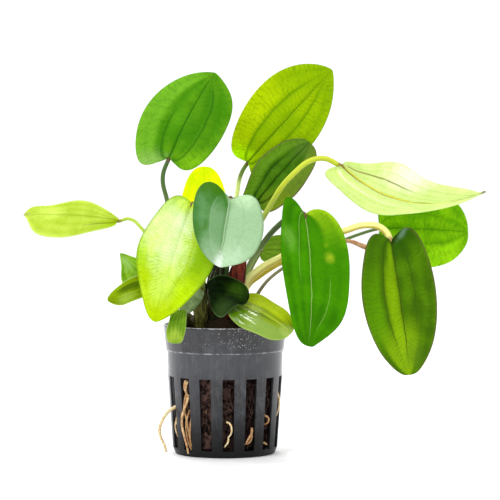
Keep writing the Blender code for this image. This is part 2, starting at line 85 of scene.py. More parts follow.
class Finish:
    """A material while it is made: each call adds a node and gives back its result."""

    def __init__(self, name):
        self.material = bpy.data.materials.new(name)
        self.material.use_nodes = True
        self.tree = self.material.node_tree
        self.skin = self.tree.nodes["Principled BSDF"]
        self.place = self.add("TexCoord").outputs["Object"]

    def add(self, kind, **settings):
        """A new node; every other step of a finish is built from these."""
        node = self.tree.nodes.new("ShaderNode" + kind)
        for setting, value in settings.items():
            setattr(node, setting, value)
        return node

    def feed(self, socket, value):
        """Joins a result to a socket, or sets the socket to a number or colour."""
        if isinstance(value, str):
            value = srgb(value)
        if isinstance(value, bpy.types.NodeSocket):
            self.tree.links.new(value, socket)
        elif isinstance(value, tuple) and socket.type == "RGBA":
            socket.default_value = (*value, 1.0)
        else:
            socket.default_value = value

    def sum(self, operation, a, b=0.0, c=0.0):
        node = self.add("Math", operation=operation)
        for socket, value in zip(node.inputs, (a, b, c)):
            self.feed(socket, value)
        return node.outputs[0]

    def mix(self, share, a, b):
        """Colour a where share is 0, b where it is 1."""
        node = self.add("Mix", data_type="RGBA")
        for socket, value in zip((node.inputs[0], node.inputs[6], node.inputs[7]), (share, a, b)):
            self.feed(socket, value)
        return node.outputs[2]

    def rise(self, value, low, high, start=0.0, end=1.0):
        """start below low, end above high, and a smooth step between."""
        node = self.add("MapRange", interpolation_type="SMOOTHSTEP")
        for socket, number in zip(node.inputs, (value, low, high, start, end)):
            self.feed(socket, number)
        return node.outputs[0]

    def stretched(self, *factors):
        """The place on the piece with its axes scaled; a pattern on it runs long where they are small."""
        node = self.add("Mapping")
        self.feed(node.inputs["Vector"], self.place)
        node.inputs["Scale"].default_value = factors
        return node.outputs[0]

    def noise(self, size, place=None, detail=4, roughness=0.55, distortion=0.0):
        """Cloudy values from 0 to 1, with lumps of about size in millimetres."""
        node = self.add("TexNoise")
        self.feed(node.inputs["Vector"], self.place if place is None else place)
        node.inputs["Scale"].default_value = 1 / (size * MM)
        node.inputs["Detail"].default_value = detail
        node.inputs["Roughness"].default_value = roughness
        node.inputs["Distortion"].default_value = distortion
        return node.outputs["Fac"]

    def cell_walls(self, size):
        """The distance to the walls of a net of cells of about size in millimetres."""
        node = self.add("TexVoronoi", feature="DISTANCE_TO_EDGE")
        self.feed(node.inputs["Vector"], self.place)
        node.inputs["Scale"].default_value = 1 / (size * MM)
        return node.outputs["Distance"]

    def along(self, axis):
        """The place on the piece along one axis, in millimetres."""
        split = self.add("SeparateXYZ")
        self.feed(split.inputs[0], self.place)
        return self.sum("MULTIPLY", split.outputs["XYZ".index(axis)], 1 / MM)

    def wear(self, colour, roughness, height=None, depth=0.2, **sockets):
        """Puts colour, roughness, relief (depth in millimetres) and plain values on the shader."""
        self.feed(self.skin.inputs["Base Color"], colour)
        self.feed(self.skin.inputs["Roughness"], roughness)
        for name, value in sockets.items():
            self.feed(self.skin.inputs[name.replace("_", " ")], value)
        if height is not None:
            bump = self.add("Bump")
            bump.inputs["Distance"].default_value = depth * MM
            bump.inputs["Strength"].default_value = 1.0
            self.feed(bump.inputs["Height"], height)
            self.feed(self.skin.inputs["Normal"], bump.outputs[0])
        return self.material


def clear_selection():
    """Leaves edit mode and deselects everything, the frame's own pieces too."""
    if bpy.context.object and bpy.context.object.mode != "OBJECT":
        bpy.ops.object.mode_set(mode="OBJECT")
    bpy.ops.object.select_all(action="DESELECT")


def apply_modifier(piece, name, kind, **settings):
    """Gives a piece one modifier and makes its result the piece's own mesh."""
    modifier = piece.modifiers.new(name, kind)
    for setting, value in settings.items():
        setattr(modifier, setting, value)
    clear_selection()
    piece.select_set(True)
    bpy.context.view_layer.objects.active = piece
    bpy.ops.object.modifier_apply(modifier=name)


def turned(name, profile, segments):
    """A body turned from (radius, height) rings, closed by a face inside the first and last."""
    clear_selection()
    radius, height = profile[0]
    bpy.ops.mesh.primitive_circle_add(
        vertices=segments, radius=radius * MM, fill_type="NGON", location=(0, 0, height * MM)
    )
    body = bpy.context.object
    body.name = name
    bpy.ops.object.transform_apply(location=True)
    bpy.ops.object.mode_set(mode="EDIT")
    for (r0, z0), (r1, z1) in zip(profile, profile[1:]):
        bpy.ops.mesh.extrude_region_move(TRANSFORM_OT_translate={"value": (0, 0, (z1 - z0) * MM)})
        bpy.ops.transform.resize(value=(r1 / r0, r1 / r0, 1), center_override=(0, 0, 0))
    bpy.ops.mesh.select_all(action="SELECT")
    bpy.ops.mesh.normals_make_consistent(inside=False)
    bpy.ops.object.mode_set(mode="OBJECT")
    return body


def settle(piece, slot, *nodes, smooth_deg=40):
    """Shades a finished piece and ties it to the frame, in place of its plain solids."""
    clear_selection()
    piece.select_set(True)
    bpy.context.view_layer.objects.active = piece
    bpy.ops.object.shade_smooth_by_angle(angle=math.radians(smooth_deg))
    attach(piece, "root")
    if nodes:
        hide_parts(*nodes)


def level_steps(start, end, count):
    """Rings at even steps from just after start up to end, both (radius, height)."""
    return [
        tuple(a + (b - a) * k / count for a, b in zip(start, end))
        for k in range(1, count + 1)
    ]


pot_profile = [
    (DRAIN_INNER_RADIUS, 0.0), (DRAIN_OUTER_RADIUS, 0.0),  # under the base
    (BASE_RADIUS - 0.7, 0.0), (BASE_RADIUS - 0.2, 0.2), (BASE_RADIUS, 0.7),
    (SLOT_FOOT_RADIUS, SLOT_FOOT_HEIGHT), (SLOT_TOP_RADIUS, SLOT_TOP_HEIGHT),
    (WAIST_RADIUS - 0.05, WAIST_HEIGHT - 1.5), (WAIST_RADIUS + 0.1, WAIST_HEIGHT + 1.2),
    (SHOULDER_RADIUS - 0.12, SHOULDER_HEIGHT - 0.7), (SHOULDER_RADIUS, SHOULDER_HEIGHT),
    (BAND_FOOT_RADIUS, BAND_FOOT_HEIGHT), (BAND_FOOT_RADIUS + 0.12, BAND_FOOT_HEIGHT + 0.5),
    (RIM_RADIUS - 0.25, POT_HEIGHT - 0.9), (RIM_RADIUS - 0.05, POT_HEIGHT - 0.6),
    (RIM_RADIUS - 0.1, POT_HEIGHT - 0.15), (RIM_RADIUS - 0.4, POT_HEIGHT),  # over the lip
    (RIM_RADIUS - 0.8, POT_HEIGHT - 0.1), (RIM_RADIUS - POT_WALL, POT_HEIGHT - 0.5),
    (BAND_FOOT_RADIUS - POT_WALL, BAND_FOOT_HEIGHT + 1),  # down the inside
    (SHOULDER_RADIUS - POT_WALL, SHOULDER_HEIGHT - 0.5), (WAIST_RADIUS - POT_WALL, WAIST_HEIGHT),
    (SLOT_TOP_RADIUS - POT_WALL, SLOT_TOP_HEIGHT), (SLOT_FOOT_RADIUS - POT_WALL, SLOT_FOOT_HEIGHT),
    (BASE_RADIUS - POT_WALL, BASE_THICKNESS),
    (DRAIN_OUTER_RADIUS, BASE_THICKNESS), (DRAIN_INNER_RADIUS, BASE_THICKNESS),
]
pot = turned("slotted_pot", pot_profile, SLOTS * 2 * FACETS_PER_SLOT)
first_slot = math.radians(FIRST_SLOT_DEG)
pitch = 2 * math.pi / SLOTS


def slot_number(point):
    """Which slot a point lies in or beside, counted to the right from the front one, and how far
    from its middle, as a share of the pitch."""
    turn = (math.atan2(point.x, -point.y) - first_slot) / pitch
    return round(turn) % SLOTS, turn - round(turn)


# The faces over the slots and the drain holes go from both skins of the wall and the base.
bpy.ops.object.mode_set(mode="EDIT")
bpy.ops.mesh.select_mode(type="FACE")
bpy.ops.mesh.select_all(action="DESELECT")
bpy.ops.object.mode_set(mode="OBJECT")
pot.data.transform(Matrix.Rotation(first_slot, 4, "Z"))
in_wall = (SLOT_FOOT_HEIGHT * MM, SLOT_TOP_HEIGHT * MM)
for face in pot.data.polygons:
    middle = face.center
    reach = math.hypot(middle.x, middle.y) / MM
    is_wall = in_wall[0] < middle.z < in_wall[1] and reach > SLOT_FOOT_RADIUS - 2 * POT_WALL
    is_base = middle.z < 1.3 * BASE_THICKNESS * MM and DRAIN_INNER_RADIUS < reach < DRAIN_OUTER_RADIUS
    is_open = (is_wall or is_base) and abs(slot_number(middle)[1]) < SLOT_HALF
    face.select = len(face.vertices) == 4 and is_open
bpy.ops.object.mode_set(mode="EDIT")
bpy.ops.mesh.delete(type="FACE")

# The outer and the inner rim of each opening are then joined by its side walls.
bpy.ops.mesh.select_mode(type="EDGE")
for number in range(SLOTS):
    for lowest, highest in ((-1, 1.5), (2, SLOT_TOP_HEIGHT + 1)):
        shape = bmesh.from_edit_mesh(pot.data)
        for edge in shape.edges:
            middle = (edge.verts[0].co + edge.verts[1].co) / 2
            is_rim = len(edge.link_faces) == 1 and lowest * MM < middle.z < highest * MM
            edge.select_set(is_rim and slot_number(middle)[0] == number)
        bmesh.update_edit_mesh(pot.data)
        bpy.ops.mesh.bridge_edge_loops()
bpy.ops.mesh.select_all(action="SELECT")
bpy.ops.mesh.normals_make_consistent(inside=False)
bpy.ops.object.mode_set(mode="OBJECT")
apply_modifier(pot, "softened edges", "BEVEL", width=EDGE_SOFTNESS * MM, segments=2,
               limit_method="ANGLE", angle_limit=math.radians(50))

plastic = Finish("dark_pot_plastic")
height_mm = plastic.along("Z")
blotches = plastic.noise(11, detail=6, roughness=0.6)
dust = plastic.noise(2.2, detail=6, roughness=0.7)
grain = plastic.noise(0.35, detail=2)
streaks = plastic.noise(1.2, place=plastic.stretched(1, 1, 0.08), detail=3)
colour = plastic.mix(plastic.rise(blotches, 0.35, 0.68), "101013", "25262b")
colour = plastic.mix(plastic.rise(dust, 0.45, 0.75, 0, 0.18), colour, "6f7076")
# Painted light: the wall between the slots and the rim band is painted lighter, where it faces up to the
# light.
painted_lit_wall = plastic.sum("MULTIPLY", plastic.rise(height_mm, SLOT_TOP_HEIGHT - 4, WAIST_HEIGHT, 0, 0.55),
                         plastic.rise(height_mm, BAND_FOOT_HEIGHT - 1, BAND_FOOT_HEIGHT + 1, 1, 0))
colour = plastic.mix(painted_lit_wall, colour, "383a40")
colour = plastic.mix(plastic.rise(streaks, 0.5, 0.75, 0, 0.12), colour, "727479")
colour = plastic.mix(plastic.rise(plastic.noise(5, detail=5), 0.5, 0.7, 0, 0.13), colour, "727479")
# Painted shade: the pot is painted darker towards its foot, reaching higher in blotches.
painted_low_shade = plastic.sum("MULTIPLY_ADD", blotches, 16, plastic.sum("MULTIPLY", height_mm, -1))
colour = plastic.mix(plastic.rise(painted_low_shade, -16, 6, 0, 0.92), colour, "040404")
# Painted highlight: a pale line, broken in patches, along the lip and along the foot of the rim band.
lip_height = plastic.sum("MULTIPLY_ADD", dust, 1.6, height_mm)
lit_lip_edge = plastic.rise(lip_height, POT_HEIGHT + 0.4, POT_HEIGHT + 0.8)
foot_distance = plastic.sum("ABSOLUTE", plastic.sum("SUBTRACT", height_mm, BAND_FOOT_HEIGHT - 0.1))
lit_band_foot = plastic.sum("MULTIPLY", plastic.rise(foot_distance, 0.05, 0.4, 0.55, 0),
                           plastic.rise(plastic.noise(2.5, detail=3), 0.4, 0.6, 0.15, 1))
colour = plastic.mix(plastic.sum("MAXIMUM", lit_lip_edge, lit_band_foot), colour, "b4b5b9")
plastic_relief = plastic.sum("ADD", plastic.sum("MULTIPLY", grain, 0.4), streaks)
pot.data.materials.append(plastic.wear(
    colour, plastic.rise(dust, 0.3, 0.7, 0.45, 0.65), plastic_relief, 0.08, Specular_IOR_Level=0.15,
    Coat_Weight=plastic.rise(height_mm, 2, 36, 0.12, 0.85), Coat_Roughness=0.15,
))
settle(pot, "pot_plastic", "net_pot")


# The grit on the pot
# Grains of pale sand and lime that have dried on the rim band, most of them at the front right.
# Each is a small rough stone that sits half sunk in the skin of dried lime; a few lie on the lip,
# where they also stand in for glints along it, a painted highlight.

GRAINS = 130
FRONT_SHARE = 0.7
LIP_SHARE = 0.15
GRAIN_SIZES = (0.08, 0.2)
random.seed(7)
clear_selection()
bpy.ops.mesh.primitive_ico_sphere_add(subdivisions=1, radius=MM)
pebble = bpy.context.object
grains = []
for count in range(GRAINS):
    if random.random() < FRONT_SHARE:
        turn = math.radians(random.gauss(15, 12))
    else:
        turn = random.uniform(-math.pi, math.pi)
    share = random.random() ** 0.7
    radius = BAND_FOOT_RADIUS + 0.1 + share * (RIM_RADIUS - BAND_FOOT_RADIUS - 0.3)
    height = BAND_FOOT_HEIGHT + 0.4 + share * (POT_HEIGHT - BAND_FOOT_HEIGHT - 1.4)
    # The grains on the lip are also a painted highlight: they stand in for glints along it.
    if random.random() < LIP_SHARE:
        turn, radius, height = random.uniform(-1.2, 1.2), RIM_RADIUS - random.uniform(0.2, 0.9), POT_HEIGHT
    size = random.uniform(*GRAIN_SIZES) * (1.5 if random.random() < 0.1 else 1)
    grain_mesh = pebble.data.copy()
    for vertex in grain_mesh.vertices:
        vertex.co *= random.uniform(0.7, 1.15)
    spot = Vector((radius * math.sin(turn), -radius * math.cos(turn), height)) * MM
    grain_mesh.transform(Matrix.Translation(spot) @ Matrix.Diagonal((size, size, 0.8 * size, 1)))
    grain_piece = bpy.data.objects.new(f"grain {count}", grain_mesh)
    bpy.context.scene.collection.objects.link(grain_piece)
    grains.append(grain_piece)
bpy.data.objects.remove(pebble)
clear_selection()
for piece in grains:
    piece.select_set(True)
bpy.context.view_layer.objects.active = grains[0]
bpy.ops.object.join()
grit = bpy.context.object
grit.name = "rim_grit"
lime = Finish("dried_lime")
lime_colour = lime.mix(lime.noise(0.6), "f2f1ec", "c4c0b4")
grit.data.materials.append(lime.wear(lime_colour, 0.6, lime.noise(0.15), 0.05))
settle(grit, "pot_plastic", smooth_deg=60)


# The growing plug
# A block of coir and peat pressed into the pot: dark brown, ragged, painted darker at the right as
# painted shade, and darker on its top. It is turned to the inside of the pot and roughened, and loose
# fibres lie in the slots and on its top.

GAP = 0.3
PLUG_EDGE_HEIGHT = 52.0
PLUG_TOP_HEIGHT = 53.3
PLUG_SEGMENTS = 240
PEAT_LUMPS = ((5.0, 1.5), (1.6, 1.1), (0.7, 0.4))
inside = POT_WALL + GAP
plug_foot = BASE_THICKNESS + GAP
plug_rings = [(BASE_RADIUS - inside - 3, plug_foot), (BASE_RADIUS - inside - 0.3, plug_foot)]
plug_rings += level_steps(plug_rings[-1], (SLOT_FOOT_RADIUS - inside, SLOT_FOOT_HEIGHT + GAP), 3)
plug_rings += level_steps(plug_rings[-1], (SLOT_TOP_RADIUS - inside, SLOT_TOP_HEIGHT), 52)
plug_rings += level_steps(plug_rings[-1], (WAIST_RADIUS - inside, WAIST_HEIGHT), 4)
plug_rings += level_steps(plug_rings[-1], (SHOULDER_RADIUS - inside, SHOULDER_HEIGHT - 1), 4)
plug_rings += level_steps(plug_rings[-1], (BAND_FOOT_RADIUS - inside - 0.4, PLUG_EDGE_HEIGHT - 1.5), 6)
plug_rings += level_steps(plug_rings[-1], (BAND_FOOT_RADIUS - inside - 1.5, PLUG_EDGE_HEIGHT), 3)
plug_rings += level_steps(plug_rings[-1], (2.0, PLUG_TOP_HEIGHT - 0.2), 26)
plug = turned("fibre_plug", plug_rings, PLUG_SEGMENTS)


def roughen(piece, layers, mid_level):
    """Pushes a skin in and out in cloudy lumps, each layer of them (size, depth) in millimetres."""
    for size, depth in layers:
        lumps = bpy.data.textures.new(f"{piece.name} lumps {size}", "CLOUDS")
        lumps.noise_scale = size * MM
        apply_modifier(piece, "lumps", "DISPLACE", texture=lumps, strength=depth * MM,
                       mid_level=mid_level, texture_coords="LOCAL")


roughen(plug, PEAT_LUMPS, mid_level=1.0)
fibre = Finish("damp_coir")
coarse = fibre.noise(2.5, detail=8, roughness=0.7)
threads = fibre.noise(0.5, place=fibre.stretched(1, 1, 0.3), detail=6, roughness=0.8, distortion=1.5)
colour = fibre.mix(fibre.rise(coarse, 0.42, 0.6), "0c0706", "664c46")
# Painted shade: the right side of the plug is painted darker; its top is darker too.
painted_shade_side = fibre.rise(fibre.along("X"), -10, 8, 0, 0.82)
above = fibre.rise(fibre.along("Z"), PLUG_EDGE_HEIGHT - 6, PLUG_EDGE_HEIGHT, 0, 0.7)
colour = fibre.mix(fibre.sum("MAXIMUM", painted_shade_side, above), colour, "0a0504")
colour = fibre.mix(fibre.rise(threads, 0.56, 0.72, 0, 0.6), colour, "7a5a4c")
fibre_relief = fibre.sum("ADD", threads, fibre.noise(0.25))
plug.data.materials.append(fibre.wear(colour, 0.9, fibre_relief, 0.35, Specular_IOR_Level=0.05))
settle(plug, "plug_fibre", "growing_plug", smooth_deg=180)


def drawn(name, paths, steps=8, resolution=2):
    """Round strands as one mesh: each path is a list of (point, radius) in millimetres."""
    clear_selection()
    bpy.ops.curve.primitive_bezier_curve_add()
    strand = bpy.context.object
    strand.name = name
    curve = strand.data
    curve.splines.clear()
    curve.bevel_depth = MM
    curve.bevel_resolution = resolution
    curve.use_fill_caps = True
    curve.resolution_u = steps
    for path in paths:
        spline = curve.splines.new("BEZIER")
        spline.bezier_points.add(len(path) - 1)
        for knot, (point, radius) in zip(spline.bezier_points, path):
            knot.co = Vector(point) * MM
            knot.radius = radius
            knot.handle_left_type = knot.handle_right_type = "AUTO"
    bpy.ops.object.convert(target="MESH")
    return bpy.context.object


def wall_radius(height, out):
    """The radius at a height of the slotted wall, out from its outer face."""
    share = (height - SLOT_FOOT_HEIGHT) / (SLOT_TOP_HEIGHT - SLOT_FOOT_HEIGHT)
    return SLOT_FOOT_RADIUS + share * (SLOT_TOP_RADIUS - SLOT_FOOT_RADIUS) + out


def on_wall(turn, height, out):
    """A point beside the slotted wall, with turn to the right of the front."""
    radius = wall_radius(height, out)
    return Vector((radius * math.sin(turn), -radius * math.cos(turn), height))


FIBRES_PER_SLOT = 24
TOP_FIBRES = 420
TOP_REACH = BAND_FOOT_RADIUS - 3.5
random.seed(11)
fibre_paths = []
for number in range(SLOTS):
    slot_turn = first_slot + number * pitch
    for count in range(FIBRES_PER_SLOT):
        turn = slot_turn + random.uniform(-0.24, 0.24) * pitch
        height = random.uniform(SLOT_FOOT_HEIGHT + 2, SLOT_TOP_HEIGHT - 2)
        lean, lift = random.uniform(-1.5, 1.5), random.uniform(-3.2, 3.2)
        thick = random.uniform(0.03, 0.12)
        path = []
        for k in range(4):
            aside = (k - 1.5) * 0.022 * lean + random.uniform(-0.01, 0.01)
            level = min(max(height + (k - 1.5) * lift * 0.6, SLOT_FOOT_HEIGHT + 0.6), SLOT_TOP_HEIGHT - 0.6)
            out = -inside + random.uniform(-0.35, 0.15)
            path.append((on_wall(turn + aside, level, out), thick))
        fibre_paths.append(path)
for count in range(TOP_FIBRES):
    turn, reach = random.uniform(-math.pi, math.pi), TOP_REACH * math.sqrt(random.random())
    middle = Vector((reach * math.sin(turn), -reach * math.cos(turn), PLUG_TOP_HEIGHT - 0.5 - 0.05 * reach))
    way = random.uniform(0, 2 * math.pi)
    long = random.uniform(1.5, 4.5)
    thick = random.uniform(0.04, 0.12)
    path = []
    for k in range(4):
        bend = random.uniform(-0.5, 0.5)
        step = Vector((math.cos(way + bend), math.sin(way + bend), 0)) * (k - 1.5) * long / 3
        path.append((middle + step + Vector((0, 0, random.uniform(0, 0.7))), thick))
    fibre_paths.append(path)
threads_piece = drawn("loose_fibres", fibre_paths, steps=2, resolution=0)
straw = Finish("loose_coir")
shade = straw.noise(2.5, detail=2)
colour = straw.mix(straw.rise(shade, 0.4, 0.6), "20140f", "54382a")
colour = straw.mix(straw.rise(straw.noise(6), 0.6, 0.7, 0, 0.7), colour, "a08258")
threads_piece.data.materials.append(straw.wear(colour, 0.75, straw.noise(0.2), 0.05))
settle(threads_piece, "plug_fibre", smooth_deg=180)


# The crown
# The short rootstock from which every stalk grows: a low brown dome, ringed by the scars and the
# torn sheaths of older leaves. It sits on the plug and holds the stalks.

CROWN_CENTRE = Vector((-3.5, 0.5, PLUG_TOP_HEIGHT + GAP))
CROWN_RADII = Vector((14.0, 10.5, 8.5))
CROWN_LUMPS = ((3.0, 1.1), (0.8, 0.35))
clear_selection()
bpy.ops.mesh.primitive_uv_sphere_add(segments=128, ring_count=64, radius=MM, location=CROWN_CENTRE * MM)
crown = bpy.context.object
crown.name = "rootstock"
crown.scale = CROWN_RADII
bpy.ops.object.transform_apply(location=True, scale=True)
bpy.ops.object.mode_set(mode="EDIT")
bpy.ops.mesh.bisect(
    plane_co=(0, 0, (CROWN_CENTRE.z - 0.6) * MM), plane_no=(0, 0, -1), use_fill=True, clear_outer=True
)
bpy.ops.object.mode_set(mode="OBJECT")
roughen(crown, CROWN_LUMPS, mid_level=0.6)
bark = Finish("rootstock_skin")
scales = bark.noise(0.8, place=bark.stretched(1, 1, 2.2), detail=6, roughness=0.7, distortion=0.6)
colour = bark.mix(bark.rise(scales, 0.35, 0.65), "140d08", "4a3420")
colour = bark.mix(bark.rise(bark.noise(4), 0.5, 0.7, 0, 0.5), colour, "54301c")
crown.data.materials.append(bark.wear(colour, 0.75, scales, 0.4, Specular_IOR_Level=0.3))
settle(crown, "crown_tissue", "crown", smooth_deg=180)


def on_crown(azimuth_deg, rise_deg):
    """The foot of a stalk on the crown, and the way it leaves: 0 is +X, 90 is the back."""
    azimuth, rise = math.radians(azimuth_deg), math.radians(rise_deg)
    way = Vector((math.cos(azimuth) * math.cos(rise), math.sin(azimuth) * math.cos(rise), math.sin(rise)))
    on_surface = Vector(a * b for a, b in zip(way, CROWN_RADII))
    outward = Vector(a / b for a, b in zip(way, CROWN_RADII)).normalized()
    return CROWN_CENTRE + on_surface + GAP * outward, outward


# The upper leaves
# Four leaves that stand over the rest, and a bright old one behind them. Each is a thin blade,
# quilted between veins that run in arcs from stalk to tip, on a fleshy stalk that grows on under
# the blade as its midrib.

BLADE_THICKNESS = 0.5
VEIN_SPREAD = 1.3  # above 1, the side veins crowd towards the stalk
VEIN_GROOVE = 0.45
MIDRIB_GROOVE = 0.7
LADDER_PITCH = 2.3
SPROUT = 2.5  # how far a stalk goes straight out of the crown
SHEATH_SPREAD = 1.5  # how much wider a stalk is at its foot
SHEATH_HEIGHT = 14  # how high over the crown's foot the old sheath colours it
RIB_TAPER = ((0.1, 0.62), (0.28, 0.42), (0.5, 0.26), (0.75, 0.12))  # place on the blade, thickness


class Blade:
    """A heart-shaped blade. Every point has a place s from stalk (0) to tip (1) along the veins,
    and t from the left margin (-1) over the midrib (0) to the right margin (1). left and right
    are the fullness of each half at a tenth, three, five, seven and nine tenths of s. heel and
    point shape its two ends, lobe is how far the heart hangs past the stalk, and folds is the
    slope of the halves at the stalk and at the tip."""

    def __init__(self, base, tip, facing, width, lobe=6, heel=0.8, point=1.0, belly=0.1, arch=2,
                 cup=0, folds=(0, 0), sweep=0, twist=0, skew=0, lean=0, left=(1, 1, 1, 1, 1),
                 right=(1, 1, 1, 1, 1), lobes=(1, 1)):
        self.base = Vector(base)
        self.length = (Vector(tip) - self.base).length
        along = (Vector(tip) - self.base).normalized()
        across = along.cross(Vector(facing)).normalized()
        self.axes = Matrix((across, along, across.cross(along))).transposed()
        self.width, self.lobe, self.heel, self.point, self.belly = width, lobe, heel, point, belly
        self.arch, self.cup, self.folds, self.sweep = arch, cup, folds, sweep
        self.twist, self.skew, self.lean = math.radians(twist), skew, lean
        self.left, self.right, self.lobes = left, right, lobes
        self.fullest = max(self.outline(i / 50) for i in range(51))

    def outline(self, s):
        """The width of a plain blade at s, before it is scaled and filled out."""
        turn = math.pi * s
        power = self.heel + (self.point - self.heel) * s
        return max(math.sin(turn), 0.0) ** power * (1 + self.belly * math.cos(turn))

    def fullness(self, s, t):
        """The smooth curve through the five values of one half."""
        values = self.right if t > 0 else self.left
        place = min(max(5 * s - 0.5, 0), 4)
        k = min(int(place), 3)
        f = place - k
        a, b, c, d = (values[min(max(k + step, 0), 4)] for step in (-1, 0, 1, 2))
        return b + 0.5 * f * (c - a + f * (2 * a - 5 * b + 4 * c - d + f * (3 * (b - c) + d - a)))

    def at(self, s, t):
        """A point of the blade: x across it, y along it and z up from its face."""
        turn = math.pi * s
        side = 1 + self.skew if t > 0 else 1 - self.skew
        half = 0.5 * self.width * side * self.fullness(s, t) * self.outline(s) / self.fullest
        midrib = self.length * s**VEIN_SPREAD
        lobe = 2.5 * self.lobe * self.lobes[t > 0] * math.sin(turn) * (1 - s) ** 2
        margin = 0.5 * self.length * (1 - math.cos(turn)) - lobe
        x = t * half
        y = midrib + abs(t) * (margin - midrib) + self.lean * x
        v = y / self.length
        bow = 4 * v * (1 - v)
        ease = min(max(2 * v, 0), 1)
        fold = self.folds[0] + (self.folds[1] - self.folds[0]) * ease**2 * (3 - 2 * ease)
        rise = self.cup * (2 * x / self.width) ** 2 + fold * abs(x)
        turned_by = Matrix.Rotation(-self.twist * v, 3, "Y") @ Vector((x, 0, rise))
        return Vector((turned_by.x + self.sweep * bow, y, turned_by.z + self.arch * bow))

    def in_frame(self, point):
        """The same point in the plant."""
        return self.base + self.axes @ point


def blade_piece(name, shape, veins, quilt, ripple, rows, columns):
    """The blade's mesh: a grid laid over the leaf, with sunk veins, quilting and a wavy margin,
    and a thickness that tapers to the margin."""
    clear_selection()
    bpy.ops.mesh.primitive_grid_add(x_subdivisions=columns, y_subdivisions=rows, size=2)
    piece = bpy.context.object
    piece.name = name
    mesh = piece.data
    where = [(0.5 * (v.co.y + 1), v.co.x) for v in mesh.vertices]
    for vertex, (s, t) in zip(mesh.vertices, where):
        vertex.co = shape.in_frame(shape.at(s, t)) * MM
    mesh.update()
    normals = [n.vector.copy() for n in mesh.vertex_normals]
    thick = piece.vertex_groups.new(name="thick")
    amount, waves, start = ripple
    for vertex, (s, t), normal in zip(mesh.vertices, where, normals):
        half = 0.5 * shape.width * shape.outline(s) / shape.fullest
        a = abs(t)
        from_vein = abs(a / veins - round(a / veins)) * veins * half
        sunk = (0.45 * quilt * math.exp(-((from_vein / VEIN_GROOVE) ** 2))
                + 0.5 * quilt * math.exp(-((a * half / MIDRIB_GROOVE) ** 2)))
        pillow = math.sin(math.pi * a / veins) ** 2
        swell = quilt * pillow * math.sin(math.pi * s) ** 0.5
        rungs = math.sin(2 * math.pi * (s * shape.length / LADDER_PITCH + 0.8 * a))
        ladder = 0.12 * quilt * rungs * pillow
        phase = 2 * math.pi * waves * s + start + (2.0 if t > 0 else 0.0)
        wave = amount * a**3 * math.sin(phase) * math.sin(math.pi * s)
        fade = min(1.0, 12 * s * (1 - s))
        vertex.co += normal * (fade * (swell - sunk + ladder) + wave) * MM
        thick.add([vertex.index], 1 - a**4 if 0 < s < 1 else 0.4, "REPLACE")
    bpy.ops.object.mode_set(mode="EDIT")
    bpy.ops.mesh.select_all(action="SELECT")
    bpy.ops.mesh.remove_doubles(threshold=0.004 * MM)
    bpy.ops.mesh.normals_make_consistent(inside=False)
    bpy.ops.object.mode_set(mode="OBJECT")
    upper = shape.axes @ Vector((0, 0, 1))
    if sum(f.normal.dot(upper) for f in mesh.polygons) < 0:
        mesh.flip_normals()
    apply_modifier(piece, "thickness", "SOLIDIFY", thickness=BLADE_THICKNESS * MM, offset=-1,
                   vertex_group="thick", thickness_vertex_group=0.35, material_offset=1)
    return piece


